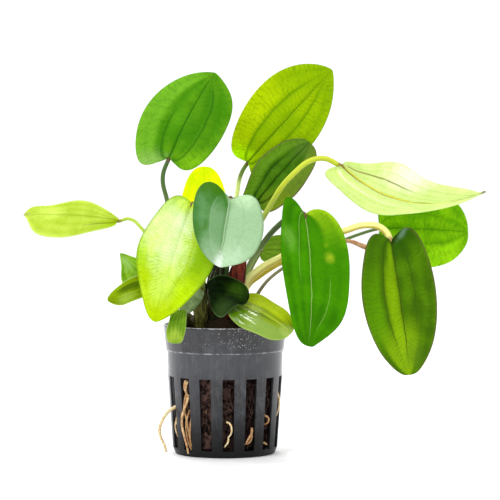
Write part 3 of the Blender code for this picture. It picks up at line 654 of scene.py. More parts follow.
def leaf_skin(name, shape, veins, deep, bright, vein, ribs=(0.6, 0.3), net_share=0.35, rungs=1.9,
              lanes=(), strokes=(), rim=None, patches=(), glow=0.3, shine=0.45, wax=0.1, mottle=7.0,
              spread=(0.32, 0.7), quilting=0.2, raised=False, gleam=None):
    """A leaf's skin. deep and bright mix in soft clouds, over the range spread of the noise; vein
    colours the midrib and the side veins by the two shares of ribs, and the cross veins, rungs
    apart, by net_share. lanes are (t from, t to, s from, s to, colour, share), strokes are (t,
    s from, s to, width, colour, share), patches are (t, s, radius, colour, share), and rim is
    (colour, share). glow is how much light comes through, wax how strongly the face mirrors, and
    gleam (t, s, radius) is a place where it is wet and smooth."""
    skin = Finish(name)
    uv = skin.add("SeparateXYZ")
    skin.feed(uv.inputs[0], skin.add("UVMap").outputs[0])
    t = skin.sum("MULTIPLY_ADD", uv.outputs[0], 2.0, -1.0)
    s = uv.outputs[1]
    t_wavy = skin.sum("ADD", t, skin.sum("MULTIPLY_ADD", skin.noise(6, detail=2), 0.08, -0.04))
    a = skin.sum("ABSOLUTE", t_wavy)
    full = skin.sum("POWER", skin.sum("SINE", skin.sum("MULTIPLY", s, math.pi)), 0.85)
    half = skin.sum("MULTIPLY", full, 0.5 * shape.width)

    # The midrib thins towards the tip, and the side veins fade towards the margin and the tip.
    from_midrib = skin.sum("DIVIDE", skin.sum("MULTIPLY", a, half), skin.sum("MULTIPLY_ADD", s, -0.4, 0.65))
    midrib = skin.rise(from_midrib, 0.2, 1.0, 1, 0)
    midrib = skin.sum("MULTIPLY", midrib, skin.rise(s, 0.75, 1, ribs[0], 0.4 * ribs[0]))
    from_vein = skin.sum("MULTIPLY", skin.sum("PINGPONG", a, 0.5 * veins), half)
    laterals = skin.rise(from_vein, 0.1, 0.42, ribs[1], 0)
    laterals = skin.sum("MULTIPLY", laterals, skin.rise(a, 0.5, 0.95, 1, 0.1))
    laterals = skin.sum("MULTIPLY", laterals, skin.rise(s, 0.5, 0.92, 1, 0.2))
    lines = skin.sum("MAXIMUM", midrib, laterals)

    # Cross veins run like the rungs of a ladder, over a finer net.
    rung = skin.sum("MULTIPLY_ADD", s, shape.length / rungs, skin.sum("MULTIPLY", a, 0.8))
    rung = skin.sum("ADD", rung, skin.sum("MULTIPLY", skin.noise(3, detail=3), 2.2))
    ladder = skin.rise(skin.sum("PINGPONG", rung, 0.5), 0.02, 0.2, 1, 0)
    net = skin.rise(skin.cell_walls(1.1), 0.02, 0.14, 1, 0)
    fine = skin.sum("MAXIMUM", skin.sum("MULTIPLY", ladder, 0.8), skin.sum("MULTIPLY", net, 0.5))
    fine = skin.sum("MULTIPLY", fine, skin.rise(skin.noise(4), 0.35, 0.6, 0.3, 1))

    # Painted light and shade of the quilting: the middle of each lane between two veins is painted brighter,
    # its sides by the veins darker.
    clouds = skin.noise(mottle, detail=4, roughness=0.5)
    painted_quilt_shade = skin.rise(skin.sum("PINGPONG", a, 0.5 * veins), 0.0, 0.5 * veins, -quilting, quilting)
    flesh = skin.sum("ADD", clouds, skin.sum("MULTIPLY", painted_quilt_shade, 0.4))
    colour = skin.mix(skin.rise(flesh, *spread), deep, bright)
    for t_from, t_to, s_from, s_to, lane_colour, share in lanes:
        across = skin.sum("MULTIPLY", skin.rise(t_wavy, t_from - 0.1, t_from + 0.1),
                          skin.rise(t_wavy, t_to - 0.1, t_to + 0.1, 1, 0))
        along = skin.sum("MULTIPLY", skin.rise(s, s_from - 0.12, s_from + 0.12),
                         skin.rise(s, s_to - 0.12, s_to + 0.12, share, 0))
        colour = skin.mix(skin.sum("MULTIPLY", across, along), colour, lane_colour)

    def ragged_spot(place_t, place_s, radius, share):
        """share inside radius millimetres of a place on the blade, with a ragged edge."""
        dt = skin.sum("MULTIPLY", skin.sum("SUBTRACT", t, place_t), half)
        ds = skin.sum("MULTIPLY", skin.sum("SUBTRACT", s, place_s), shape.length)
        far = skin.sum("ADD", skin.sum("MULTIPLY", dt, dt), skin.sum("MULTIPLY", ds, ds))
        far = skin.sum("SQRT", far)
        ragged = skin.sum("MULTIPLY_ADD", skin.noise(2.5, detail=4), radius, far)
        return skin.rise(ragged, 0.6 * radius, 1.9 * radius, share, 0)

    for place_t, place_s, radius, patch_colour, share in patches:
        colour = skin.mix(ragged_spot(place_t, place_s, radius, share), colour, patch_colour)
    speckle = skin.noise(0.5, detail=3, roughness=0.7)
    colour = skin.mix(skin.rise(speckle, 0.35, 0.75, 0, 0.14), colour, vein)
    colour = skin.mix(skin.sum("MULTIPLY", fine, net_share), colour, vein)
    colour = skin.mix(lines, colour, vein)
    for place_t, s_from, s_to, wide, stroke_colour, share in strokes:
        off = skin.sum("MULTIPLY", skin.sum("ABSOLUTE", skin.sum("SUBTRACT", t_wavy, place_t)), half)
        across = skin.rise(off, 0.25 * wide, 0.75 * wide, 1, 0)
        along = skin.sum("MULTIPLY", skin.rise(s, s_from - 0.04, s_from + 0.02),
                         skin.rise(s, s_to - 0.12, s_to + 0.04, share, 0))
        colour = skin.mix(skin.sum("MULTIPLY", across, along), colour, stroke_colour)
    if rim:
        rim_colour, rim_share = rim
        at_margin = skin.rise(skin.sum("ABSOLUTE", t), 0.92, 0.99, 0, rim_share)
        colour = skin.mix(at_margin, colour, rim_colour)

    # Veins are sunk in the upper face and raised on the under face.
    sign = 1.0 if raised else -1.0
    relief = skin.sum("MULTIPLY_ADD", lines, sign, skin.sum("MULTIPLY", fine, 0.35 * sign))
    relief = skin.sum("ADD", relief, skin.sum("MULTIPLY", speckle, 0.35))
    roughness = skin.rise(clouds, 0.2, 0.8, shine - 0.06, shine + 0.1)
    skin.wear(colour, roughness, relief, 0.16, Specular_IOR_Level=wax, Coat_Roughness=0.16)
    if gleam:
        skin.feed(skin.skin.inputs["Coat Weight"], ragged_spot(*gleam, 1.0))

    # Light that comes through the blade is brighter and stronger in colour.
    through = skin.add("BsdfTranslucent")
    brighter = skin.add("HueSaturation")
    brighter.inputs["Saturation"].default_value = 1.1
    brighter.inputs["Value"].default_value = 1.2
    skin.feed(brighter.inputs["Color"], colour)
    skin.feed(through.inputs["Color"], brighter.outputs[0])
    both = skin.add("MixShader")
    both.inputs[0].default_value = glow
    skin.feed(both.inputs[1], skin.skin.outputs[0])
    skin.feed(both.inputs[2], through.outputs[0])
    skin.feed(skin.tree.nodes["Material Output"].inputs["Surface"], both.outputs[0])
    return skin.material


def stalk_skin(name, joint, low, high, span, sheath, shaded=None):
    """A stalk's skin: low fades into high over span, two heights, with fine lengthwise streaks.
    It browns at joint, the point where it meets the blade; sheath colours its foot on the crown,
    and shaded the side that faces down."""
    skin = Finish(name)
    level = skin.along("Z")
    uv = skin.add("UVMap").outputs[0]
    grain = skin.add("Mapping")
    skin.feed(grain.inputs["Vector"], uv)
    grain.inputs["Scale"].default_value = (0.012, 0.06, 1.0)
    streaks = skin.noise(2.0, place=grain.outputs[0], detail=4)
    wavy = skin.sum("MULTIPLY_ADD", skin.noise(5), 6.0, level)
    colour = skin.mix(skin.rise(wavy, span[0] + 3, span[1] + 3), low, high)
    streak = tuple(0.45 * c for c in srgb(low))
    colour = skin.mix(skin.rise(streaks, 0.4, 0.7, 0, 0.35), colour, streak)
    if shaded:
        facing = skin.add("SeparateXYZ")
        skin.feed(facing.inputs[0], skin.add("NewGeometry").outputs["Normal"])
        colour = skin.mix(skin.rise(facing.outputs[2], -0.6, 0.0, 0.8, 0), colour, shaded)
    top = CROWN_CENTRE.z + SHEATH_HEIGHT
    colour = skin.mix(skin.rise(wavy, top - 3, top + 9, 0.85, 0), colour, sheath)
    reach = skin.add("VectorMath", operation="DISTANCE")
    skin.feed(reach.inputs[0], skin.place)
    reach.inputs[1].default_value = joint * MM
    reach_mm = skin.sum("MULTIPLY", reach.outputs["Value"], 1 / MM)
    near = skin.sum("MULTIPLY_ADD", skin.noise(1.5), 1.2, reach_mm)
    colour = skin.mix(skin.rise(near, 1.4, 3.2, 0.75, 0), colour, "6a3c24")
    relief = skin.sum("ADD", streaks, skin.sum("MULTIPLY", skin.noise(0.4), 0.4))
    return skin.wear(colour, skin.rise(streaks, 0.3, 0.7, 0.35, 0.5), relief, 0.1,
                     Specular_IOR_Level=0.2, Subsurface_Weight=0.1, Subsurface_Scale=1.5 * MM)


def leaf(name, shape, foot, stalk, skin, under, stalk_colours, thick=(1.3, 0.95), veins=0.38,
         quilt=0.22, ripple=(0.5, 3, 0.0), rows=96, columns=72, glow=0.3, **upper):
    """One leaf in its place: the blade, and the stalk from the crown into the blade's midrib.
    foot is where on the crown the stalk starts, in degrees round and up, stalk the points that it
    passes, and thick its radius at the foot and at the blade. skin and under are the colours of
    the two faces: the flesh, its brighter clouds and the veins."""
    blade = blade_piece(name + "_leaf", shape, veins, quilt, ripple, rows, columns)
    blade.data.materials.append(leaf_skin(name + "_upper_skin", shape, veins, *skin, glow=glow, **upper))
    blade.data.materials.append(leaf_skin(
        name + "_under_skin", shape, veins, *under, ribs=(0.5, 0.4), net_share=0.25, shine=0.5,
        raised=True, glow=glow,
    ))
    settle(blade, "leaf_green", name + "_blade", smooth_deg=180)

    start, outward = on_crown(*foot)
    under_way = shape.axes @ Vector((0, 4 * shape.arch / shape.length, -1)).normalized()
    path = [
        (start - 1.5 * outward, thick[0] * SHEATH_SPREAD),
        (start + SPROUT * outward, thick[0] * 1.25),
    ]
    last = len(stalk) + 2
    for k, point in enumerate(stalk):
        slim = thick[0] + (thick[1] - thick[0]) * min(1, 2 * (k + 2) / last)
        path.append((Vector(point), slim))
    neck = shape.base + under_way * (BLADE_THICKNESS + 0.55 * thick[1]) * math.hypot(1, shape.folds[0])
    path.append((neck, 0.95 * thick[1]))
    for s, share in RIB_TAPER:
        sunk = 0.8 * BLADE_THICKNESS + 0.85 * share * thick[1]
        rib_point = shape.in_frame(shape.at(s, 0) - Vector((0, 0, sunk)))
        path.append((rib_point, share * thick[1]))
    stem = drawn(name + "_stalk_and_rib", [path], steps=10, resolution=5)
    stem.data.materials.append(stalk_skin(name + "_stalk_skin", shape.base, *stalk_colours))
    settle(stem, "stalk_green", name + "_stalk", smooth_deg=180)


leaf(
    "upper_left",
    Blade((-24.1, 4, 126.9), (-4.4, 11, 163.5), (0.1, -1, 0.25), 35.5, lobe=9, point=1.45, belly=0.02,
          sweep=-1, skew=-0.03, lean=0.2, left=(1, 0.97, 1, 1, 1), right=(1, 1, 0.99, 0.98, 0.78),
          lobes=(1.1, 0.75)),
    foot=(150, 52), stalk=[(-22, 1, 90), (-24.8, 1, 108), (-26.8, 3, 118.5)],
    skin=("4b9206", "66a412", "2c6a06"), under=("74a83c", "8fbf58", "cfe08a"),
    stalk_colours=("647a38", "42602c", (85, 125), "453f1c"),
    # Painted light: the lighter lane along the left margin and the pale patches low at both sides of the
    # blade.
    lanes=[(-1.1, -0.55, 0, 0.9, "8ccc34", 0.55), (0.05, 0.7, 0.35, 1.1, "3f8404", 0.4)],
    patches=[(0.85, 0.22, 6, "94d01c", 0.75), (-0.85, 0.15, 6, "a0c868", 0.7),
             (-0.15, 0.5, 4, "5ea814", 0.6)],
    strokes=[(-0.36, 0, 0.6, 0.9, "2c6a06", 0.6), (0.47, 0.05, 0.85, 0.9, "2c6a06", 0.6)],
    ribs=(0.85, 0.06), net_share=0.42, mottle=10, wax=0.05, glow=0.25, ripple=(0.6, 2.5, 0.6),
)
leaf(
    "upper_middle",
    Blade((9.9, 24, 124.5), (46.8, 30, 164.8), (0.1, -1, 0.3), 34, lobe=6, point=1.5, belly=-0.07,
          skew=-0.12, lean=-0.1, left=(0.98, 0.96, 0.96, 0.95, 0.92), right=(1, 1.03, 1.06, 0.95, 0.75)),
    foot=(80, 62), stalk=[(2, 12, 88), (5.1, 22, 110.6), (6.8, 25, 119)],
    skin=("98ba02", "acc802", "5c9004"), under=("9cc84a", "b5d86a", "7aa82a"),
    # Painted highlight: the stalk's pale colour low down, below its span.
    stalk_colours=("e0f090", "6b8a30", (113, 121), "5a5424"),
    lanes=[(-1.1, -0.45, -0.1, 0.6, "ccdc04", 0.85), (-1.1, 1.1, 0.85, 1.1, "98b804", 0.6)],
    # Painted light: the bright patch low on the left half, for light coming through the blade.
    patches=[(0, 0.04, 9, "bcdc08", 0.85), (-0.75, 0.1, 7, "d8ff04", 0.9)],
    strokes=[(-0.38, 0, 0.8, 0.9, "5c9004", 0.5), (0.36, 0.05, 0.85, 0.9, "5c9004", 0.5)],
    ribs=(0.8, 0.08), net_share=0.65, rungs=1.5, mottle=8, wax=0.03, glow=0.42, ripple=(0.6, 2, 1.8),
)
leaf(
    "dark_upper",
    Blade((14, 12, 107.9), (36.7, 17, 133.2), (-0.2, -1, 0.3), 22, lobe=6, point=0.8, belly=0, cup=1,
          left=(1, 0.85, 1, 0.95, 0.85), right=(1, 1.05, 1.08, 1.06, 1), lobes=(1, 0.7)),
    foot=(35, 62), stalk=[(7, 8, 86), (11.5, 11, 99)],
    skin=("3a6c02", "508012", "1f3a04"), under=("5f7d36", "71905a", "4a3a20"),
    stalk_colours=("6b7a40", "4a5a2c", (85, 105), "5a4a2c"),
    lanes=[(-1.1, -0.55, 0, 1, "6c9a20", 0.7), (0.45, 1.1, 0.2, 1.1, "76902c", 0.75)],
    patches=[(0.8, 0.3, 6, "7c9418", 0.8), (0, 0.9, 6, "56742a", 0.6), (0, 0, 3, "2a1408", 0.8)],
    strokes=[(-0.4, 0, 0.7, 0.9, "1f3a04", 0.6), (0.4, 0, 0.6, 0.9, "1f3a04", 0.6)],
    rim=("6a5a40", 0.7), ribs=(0.85, 0.05), net_share=0.3, wax=0.03, glow=0.2, veins=0.4, quilt=0.14,
)
leaf(
    "outstretched",
    Blade((50.1, -4, 124), (111.8, -4, 112.8), (0.1, -0.78, 0.62), 30, lobe=7.5, point=3.2, belly=0.15,
          arch=-8, folds=(-0.15, 0.3), sweep=7, twist=28, skew=-0.04, lean=-0.48,
          left=(1, 1.4, 0.85, 0.8, 1), right=(1.8, 1.05, 1.02, 1.08, 1.5), lobes=(0.3, 0.75)),
    foot=(-35, 60),
    stalk=[(5, -7, 76), (9.5, -8, 88), (18, -6, 104.3), (28.3, -7, 119.3), (40.3, -5, 126.8)],
    skin=("d4e694", "e4f4ac", "b0bc54"), under=("c4de80", "dcf0a0", "a8a840"),
    stalk_colours=("8ea04c", "c4d034", (95, 118), "6a5c2a"), thick=(1.4, 1.15),
    # Painted highlight: the near-white patch on the upper half.
    patches=[(-0.8, 0.45, 8, "fbfff0", 0.85), (0.4, 0.15, 5, "e4f8a0", 0.7),
             (0, 0.0, 2.0, "6a3a22", 0.95), (0, 1, 2.5, "8a8a70", 0.8)],
    # The yellow midrib line is partly the rib's own colour, partly painted highlight; the brown line beside
    # it is its painted shadow.
    strokes=[(0.0, 0, 0.97, 0.9, "e4dc40", 0.9), (0.07, 0.0, 0.62, 0.5, "6a4420", 0.85),
             (-0.42, 0.1, 0.55, 0.5, "7c6030", 0.7), (-0.66, 0.3, 0.9, 0.4, "b4c070", 0.5),
             (0.42, 0.1, 0.6, 0.7, "fbfff0", 0.7)],
    ribs=(0.1, 0.15), net_share=0.25, spread=(0.2, 0.8), wax=0.08, glow=0.4, veins=0.2, rows=110,
)
leaf(
    "yellow_back",
    Blade((-10, 18, 88), (-9.1, 22, 122.6), (0.1, -1, 0.2), 21, lobe=5, point=0.8),
    foot=(112, 52), stalk=[(-9.6, 18, 74)],
    skin=("e4f004", "f4fc0c", "c8d000"), under=("d0d430", "dce050", "a8a820"),
    stalk_colours=("a0a838", "d0d850", (60, 85), "4a4420"),
    ribs=(0.3, 0.1), net_share=0.15, glow=0.5, quilt=0.1,
)


# The front leaves
# The leaves that hang over the front of the pot on arched stalks, with their upper faces out: a waxy
# blue-green heart with one half painted pale as sheen, a big lime leaf, and two long dark ones at the right.

leaf(
    "front_heart",
    Blade((2.4, -37, 110.9), (-2.3, -35, 82.2), (0, -1, 0.25), 30, lobe=8, point=1.1, belly=0.15, arch=1,
          folds=(0.15, 0.15), lean=-0.25, left=(1, 1, 1.08, 1.02, 0.6), right=(0.9, 0.97, 0.97, 1, 1),
          lobes=(1, 0.78)),
    foot=(-75, 62), stalk=[(0.5, -6, 76), (1.5, -14, 92), (2.6, -30, 107.5)],
    skin=("447a2c", "64945a", "2f6a30"), under=("7ea070", "98b890", "c8c8a0"),
    stalk_colours=("5a7040", "4a6038", (80, 100), "453f1c"),
    # Painted sheen: the pale mint half, from the first lane and the two pale patches on that half, where the
    # folded blade mirrors the bright room.
    lanes=[(-1.1, -0.02, -0.1, 1.1, "a6c89c", 0.9), (0.05, 0.5, 0.3, 1.1, "84ac7c", 0.7),
           (0.0, 1.1, 0.78, 1.1, "acc8a4", 0.7)],
    patches=[(0.6, 0.03, 9, "2e6c00", 0.95), (0.85, 0.2, 5, "3e7400", 0.8), (0.95, 0.5, 3, "3a7a28", 0.7),
             (0.55, 0.75, 4, "98bc90", 0.5), (-0.7, 0.12, 5, "ccecbc", 0.8),
             (-0.6, 0.8, 6, "c4e0bc", 0.7), (0.05, 0.98, 4, "f0f8f0", 0.9), (0, 0.0, 1.6, "6a4634", 0.8)],
    strokes=[(0.0, 0, 0.98, 0.5, "c0d8b4", 0.5), (-0.04, 0.05, 0.9, 0.5, "5c8c5c", 0.45),
             (-0.46, 0.1, 0.8, 0.4, "8cb48c", 0.4), (0.46, 0.25, 0.8, 0.4, "a0c49c", 0.25)],
    rim=("4a6a30", 0.35), ribs=(0.1, 0.05), net_share=0.12, spread=(0.4, 0.7), quilting=0.05, shine=0.4,
    wax=0.07, glow=0.12, veins=0.5, quilt=0.1, ripple=(0.4, 2, 0.4),
)
leaf(
    "lime_front",
    Blade((-13.7, -26, 108.6), (-29.8, -24, 58.3), (-0.2, -1, 0.2), 33.5, lobe=6, point=1.15, belly=0,
          arch=3, skew=-0.08, left=(1, 1, 0.98, 0.77, 0.55), right=(1, 0.95, 1.04, 0.78, 0.65),
          lobes=(1, 0.72)),
    foot=(-125, 52), stalk=[(-10, -14, 84), (-12.5, -22, 104)],
    skin=("bedc16", "d4ec40", "7ca404"), under=("b8d850", "d0e880", "98a840"),
    stalk_colours=("8a9a48", "a8b850", (75, 100), "4a4420"),
    lanes=[(-1.1, -0.45, 0.05, 0.6, "90be10", 0.9), (-1.1, 1.1, 0.78, 1.1, "c8e000", 0.95),
           (0.6, 1.1, -0.1, 0.2, "9cc832", 0.8)],
    # Painted highlight: the three whitish patches over the upper left of the blade.
    patches=[(0.2, 0.3, 9, "f4ffdc", 0.9), (0.15, 0.5, 9, "f0ffc8", 0.9), (0.75, 0.36, 9, "ecffb8", 0.9),
             (0.5, 0.14, 4, "ecff7c", 0.75), (0.95, 0.56, 4, "a8d20c", 0.6),
             (0.75, 0.66, 4, "c4dc04", 0.7), (-0.75, 0.68, 5, "ccec00", 0.85),
             (0.1, 0.72, 7, "e4f880", 0.7)],
    strokes=[(0.0, 0.02, 0.9, 0.7, "d8e890", 0.25), (-0.4, 0.05, 0.8, 0.5, "a8c828", 0.5)],
    rim=("709c04", 0.55), ribs=(0.0, 0.1), net_share=0.5, rungs=1.1, wax=0.03, glow=0.35, quilt=0.25,
    ripple=(0.7, 3, 0.9), rows=130, columns=80,
)
leaf(
    "hanging_centre",
    Blade((33.8, -29, 103.6), (35.4, -31, 48.4), (-0.05, -1, 0.1), 28.8, lobe=11.5, heel=1.1, point=0.8,
          belly=0, arch=3, sweep=-2, skew=-0.12, lean=-0.28, left=(1.3, 1.13, 1, 0.95, 0.5),
          right=(0.95, 0.87, 0.95, 0.88, 0.85), lobes=(0.75, 1)),
    foot=(-5, 50), stalk=[(8.3, -2.5, 75.5), (15.9, -8, 89.9), (23.1, -14, 98.7), (30, -23, 103.5)],
    skin=("347a00", "489400", "246004"), under=("5a8a34", "74a050", "b0c078"),
    stalk_colours=("9cb474", "42542e", (75, 95), "3a3018"), thick=(1.3, 1.2),
    lanes=[(-1.1, -0.45, -0.1, 0.3, "b4dc1c", 0.85), (-0.9, -0.1, 0.1, 0.6, "448c00", 0.6),
           (-1.1, 1.1, 0.85, 1.1, "347000", 0.6)],
    patches=[(0.7, 0.4, 3.5, "84c048", 0.5), (0.3, 0.5, 5, "4a9c00", 0.6),
             (-0.5, 0.42, 1.8, "a8c424", 0.75), (-0.45, 0.35, 1.0, "94b818", 0.35),
             (0.1, 0.03, 2.2, "5a3a20", 0.7)],
    strokes=[(0.0, 0, 0.96, 0.4, "b0cc78", 0.55), (0.38, 0.05, 0.6, 0.35, "9cc060", 0.4),
             (-0.5, 0.55, 0.85, 0.35, "9cc060", 0.35)],
    ribs=(0.1, 0.06), net_share=0.28, mottle=10, shine=0.34, wax=0.03, glow=0.2, quilt=0.1,
    ripple=(0.5, 2, 2.2), rows=110,
)
leaf(
    "hanging_right",
    Blade((70.6, -16, 92.4), (78.8, -18, 35.1), (0.1, -1, 0.1), 30.5, lobe=9, point=0.8, belly=0.05,
          arch=3, left=(1, 1, 1.03, 0.96, 0.75), right=(0.85, 0.92, 1.07, 1, 0.78), lobes=(1, 0.88)),
    foot=(-28, 36),
    stalk=[(8.9, -6.5, 72.8), (15.2, -8, 79.6), (23, -10, 84.2), (38, -14, 92.3), (50.7, -16, 96.3),
           (60, -15.5, 98.8), (67, -14.5, 97.2)],
    skin=("406a02", "588802", "2c480a"), under=("6a8a3c", "7c9a50", "5a5a28"),
    stalk_colours=("fff8a4", "f8f090", (76, 90), "f0cc58", "b09808"), thick=(2.3, 1.45),
    lanes=[(0.06, 0.24, 0.12, 0.34, "86ae02", 0.85), (0.04, 0.36, 0.34, 1.1, "8ab404", 0.9),
           (0.5, 1.1, 0.36, 0.72, "64a000", 0.75), (-0.5, 0.8, 0.7, 1.1, "92bc0a", 0.8),
           (-1.1, 0, -0.1, 0.25, "265600", 0.85), (0.5, 1.1, -0.1, 0.3, "467404", 0.6)],
    # Painted reflection: the grey-blue patch on the right lobe near the stalk.
    patches=[(-0.45, 0.85, 6, "608617", 0.5), (-0.75, 0.12, 2.5, "7c9c84", 0.6),
             (-0.2, 0.05, 3, "1a2c04", 0.85)],
    strokes=[(0.0, 0, 0.9, 0.5, "34440a", 0.7), (0.4, 0.02, 0.8, 0.5, "36520a", 0.6),
             (-0.42, 0.02, 0.7, 0.4, "36520a", 0.4)],
    rim=("6a5838", 0.5), ribs=(0.1, 0.1), net_share=0.4, rungs=1.4, mottle=8, shine=0.34, wax=0.04,
    glow=0.2, veins=0.42, quilt=0.12, ripple=(0.4, 2, 0.2), rows=110,
)


# The side and back leaves
# A narrow pale leaf far out at the left, a broad one behind the right-hand leaves and a small
# olive one behind the middle. They are the same kind of growth on thinner stalks.

leaf(
    "far_left",
    Blade((-46.5, 6, 99.9), (-87, 6, 102.1), (0, -0.75, 0.65), 18.5, lobe=2, point=0.9, belly=-0.1,
          lean=-0.35, left=(0.9, 1, 1.4, 1.2, 0.25), right=(0.3, 0.62, 0.87, 0.62, 0.88)),
    foot=(172, 32), stalk=[(-24, 1, 78), (-36.2, 5, 96.5), (-41.4, 7.8, 100.3)],
    skin=("bcd244", "ccde5c", "98b020"), under=("b4d060", "c8e080", "98a840"),
    stalk_colours=("8aa040", "b0cc40", (75, 95), "4a4420"), thick=(1.2, 0.7),
    lanes=[(-1.1, -0.2, -0.1, 0.25, "acc804", 0.85)],
    patches=[(0, 0.0, 7, "b0cc00", 0.85), (0.2, 0.75, 5, "e4f480", 0.6), (0, 1, 3, "b0b478", 0.7)],
    strokes=[(-0.5, 0, 0.4, 0.9, "5c7408", 0.5)],
    rim=("e4f4a0", 0.5), ribs=(0.5, 0.12), net_share=0.25, wax=0.03, glow=0.38, quilt=0.1,
    ripple=(0.5, 2, 0.5),
)
leaf(
    "broad_back",
    Blade((67.6, 20, 95.8), (106.5, 27, 93.5), (0, -1, 0.3), 35, lobe=3, point=0.8, belly=0,
          right=(1, 1, 1, 0.95, 0.8)),
    foot=(18, 25), stalk=[(14.6, 1, 69.2), (23.3, 3, 78.1), (51.6, 14, 90.9)],
    skin=("74b604", "94cc0a", "447c06"), under=("6a9a3c", "86b058", "a0b060"),
    stalk_colours=("8f8a6c", "5f7a3c", (74, 88), "5a4a30"), thick=(1.2, 0.7),
    lanes=[(0.5, 1.1, 0.1, 0.85, "b4e818", 0.85)],
    patches=[(0.5, 0.45, 8, "a4dc10", 0.6)],
    ribs=(0.5, 0.3), net_share=0.6, wax=0.04, glow=0.38,
)
leaf(
    "hidden_olive",
    Blade((16.5, 13, 86.6), (42, 18, 84), (0, -0.9, 0.4), 14, lobe=3),
    foot=(62, 42), stalk=[(10, 11.5, 76)],
    skin=("6a9410", "7ca420", "3e5a10"), under=("7c9048", "90a060", "6a6a30"),
    stalk_colours=("6a7a40", "7a8a48", (65, 85), "5a4a30"), thick=(1.0, 0.6),
    ribs=(0.3, 0.1), glow=0.25, quilt=0.06, rows=64, columns=48,
)


# The low leaves
# The small leaves near the rim: two curled ones at the left, a wet-looking one that leans over
# the rim, a very dark one at the crown and a narrow one that hangs over the rim.

leaf(
    "curled_upper",
    Blade((-34, 2, 75), (-45.3, 4, 85.5), (-0.3, -0.8, 0.5), 11, lobe=2, arch=-2,
          left=(1, 1.4, 1.5, 0.75, 0.3), right=(1, 1, 0.9, 0.6, 0.45)),
    foot=(190, 20), stalk=[(-24, 1, 66)],
    skin=("7eae14", "a0cc3c", "4f7a14"), under=("88a850", "98b860", "788a40"),
    stalk_colours=("7a8a48", "8aa048", (60, 75), "5a4a30"), thick=(1.0, 0.6),
    patches=[(0.3, 0.2, 5, "437404", 0.95), (-0.2, 0.75, 3, "b4d880", 0.8)],
    rim=("d0eca8", 0.6), ribs=(0.3, 0.05), net_share=0.2, wax=0.03, quilt=0.05, ripple=(0.8, 2, 0.0),
    rows=64, columns=48,
)
leaf(
    "curled_lower",
    Blade((-33, -2, 72), (-50.5, -3, 66), (0.1, -0.9, 0.4), 12, lobe=2, arch=2,
          left=(1, 0.8, 0.85, 1, 0.8), right=(1, 1, 0.85, 0.65, 0.45)),
    foot=(207, 15), stalk=[(-24, -2, 63)],
    skin=("769000", "94b008", "55780e"), under=("88a850", "98b860", "788a40"),
    stalk_colours=("7a8a48", "8aa048", (60, 75), "5a4a30"), thick=(1.0, 0.6),
    lanes=[(0.1, 0.6, -0.1, 0.7, "4a6a04", 0.85)],
    patches=[(-0.5, 0.6, 3, "a8c450", 0.7)],
    rim=("d0e4a0", 0.6), ribs=(0.3, 0.05), net_share=0.2, wax=0.03, quilt=0.05, ripple=(0.6, 2, 1.5),
    rows=64, columns=48,
)
leaf(
    "low_glossy",
    Blade((5, -19.5, 65.6), (28.2, -29, 53.9), (0.3, -0.8, 0.6), 22, lobe=3, point=0.7, belly=0,
          left=(1, 0.9, 0.81, 0.78, 0.7), right=(0.84, 0.95, 1.02, 1.02, 1)),
    foot=(-50, 22), stalk=[(4.8, -13, 60)],
    skin=("708c04", "8ca414", "5c8008"), under=("98b060", "a8c070", "788a40"),
    stalk_colours=("5a6a30", "6a7a38", (58, 66), "3a3018"), thick=(1.2, 0.7),
    # Painted sheen: the milky pale lane over the lower half towards the tip.
    lanes=[(-1.1, -0.35, 0, 0.8, "bcd010", 0.85), (0.25, 1.1, 0.45, 1.1, "90b050", 0.8),
           (0.15, 1.1, -0.1, 0.4, "4c7c04", 0.8)],
    patches=[(0.0, 0.95, 4, "b8d068", 0.8)],
    strokes=[(0.05, 0.02, 0.75, 0.7, "54700c", 0.7), (-0.1, 0, 0.9, 0.6, "c4d444", 0.6)],
    rim=("b0c870", 0.5), ribs=(0.1, 0.06), net_share=0.15, shine=0.25, wax=0.08, gleam=(0.3, 0.4, 6),
    glow=0.2, quilt=0.12, ripple=(0.5, 3, 1.0), rows=72, columns=56,
)
leaf(
    "small_dark",
    Blade((-7, -17.5, 71), (10.4, -23.5, 68.4), (-0.1, -0.9, 0.4), 14, lobe=3,
          left=(1, 1.05, 1.05, 1.05, 1.1), right=(0.8, 1.42, 1.6, 0.84, 1.3), lobes=(1, -0.35)),
    foot=(-100, 42), stalk=[(-6.5, -14, 66)],
    skin=("030b00", "0a1e02", "061203"), under=("3a4a20", "4a5a30", "303018"),
    stalk_colours=("3a4a20", "3a4a20", (60, 70), "3a2c20"), thick=(1.0, 0.6),
    patches=[(-0.35, 0.72, 4, "34560c", 0.8), (0.7, 0.5, 3.5, "30481c", 0.8)],
    rim=("4c6a3c", 0.6), ribs=(0.5, 0.05), net_share=0.3, mottle=4, wax=0.03, glow=0.08, quilt=0.1,
    rows=64, columns=48,
)
leaf(
    "over_rim",
    Blade((-18.5, -21, 63), (-20.5, -30, 49.6), (-0.2, -0.8, 0.6), 8.2, lobe=1, point=0.7, arch=1,
          left=(0.8, 0.8, 0.85, 1.05, 1.3), right=(1, 1, 1.1, 1.35, 1.7)),
    foot=(-136, 14), stalk=[(-16, -14, 60)],
    skin=("649018", "8cb02c", "4c6e14"), under=("98b060", "a8c070", "788a40"),
    stalk_colours=("6a7a38", "88a040", (56, 64), "3a3018"), thick=(1.0, 0.6),
    patches=[(0.2, 0.8, 3, "b0cc48", 0.8)],
    rim=("c0d890", 0.5), ribs=(0.2, 0.05), net_share=0.15, wax=0.04, glow=0.3, quilt=0.05, rows=64,
    columns=40,
)


# The old growth
# What is left of earlier leaves: a brown-pink stalk, cut off above a knob, a dark red sheath that
# has dried in the middle of the crown, and papery dark scraps of others that still stand round it,
# with a small grey-green leaf low on the left and a few pale fibres.

LIVE_TO, DRY_FROM = 30, 48  # how far to the right the old stalk is still green


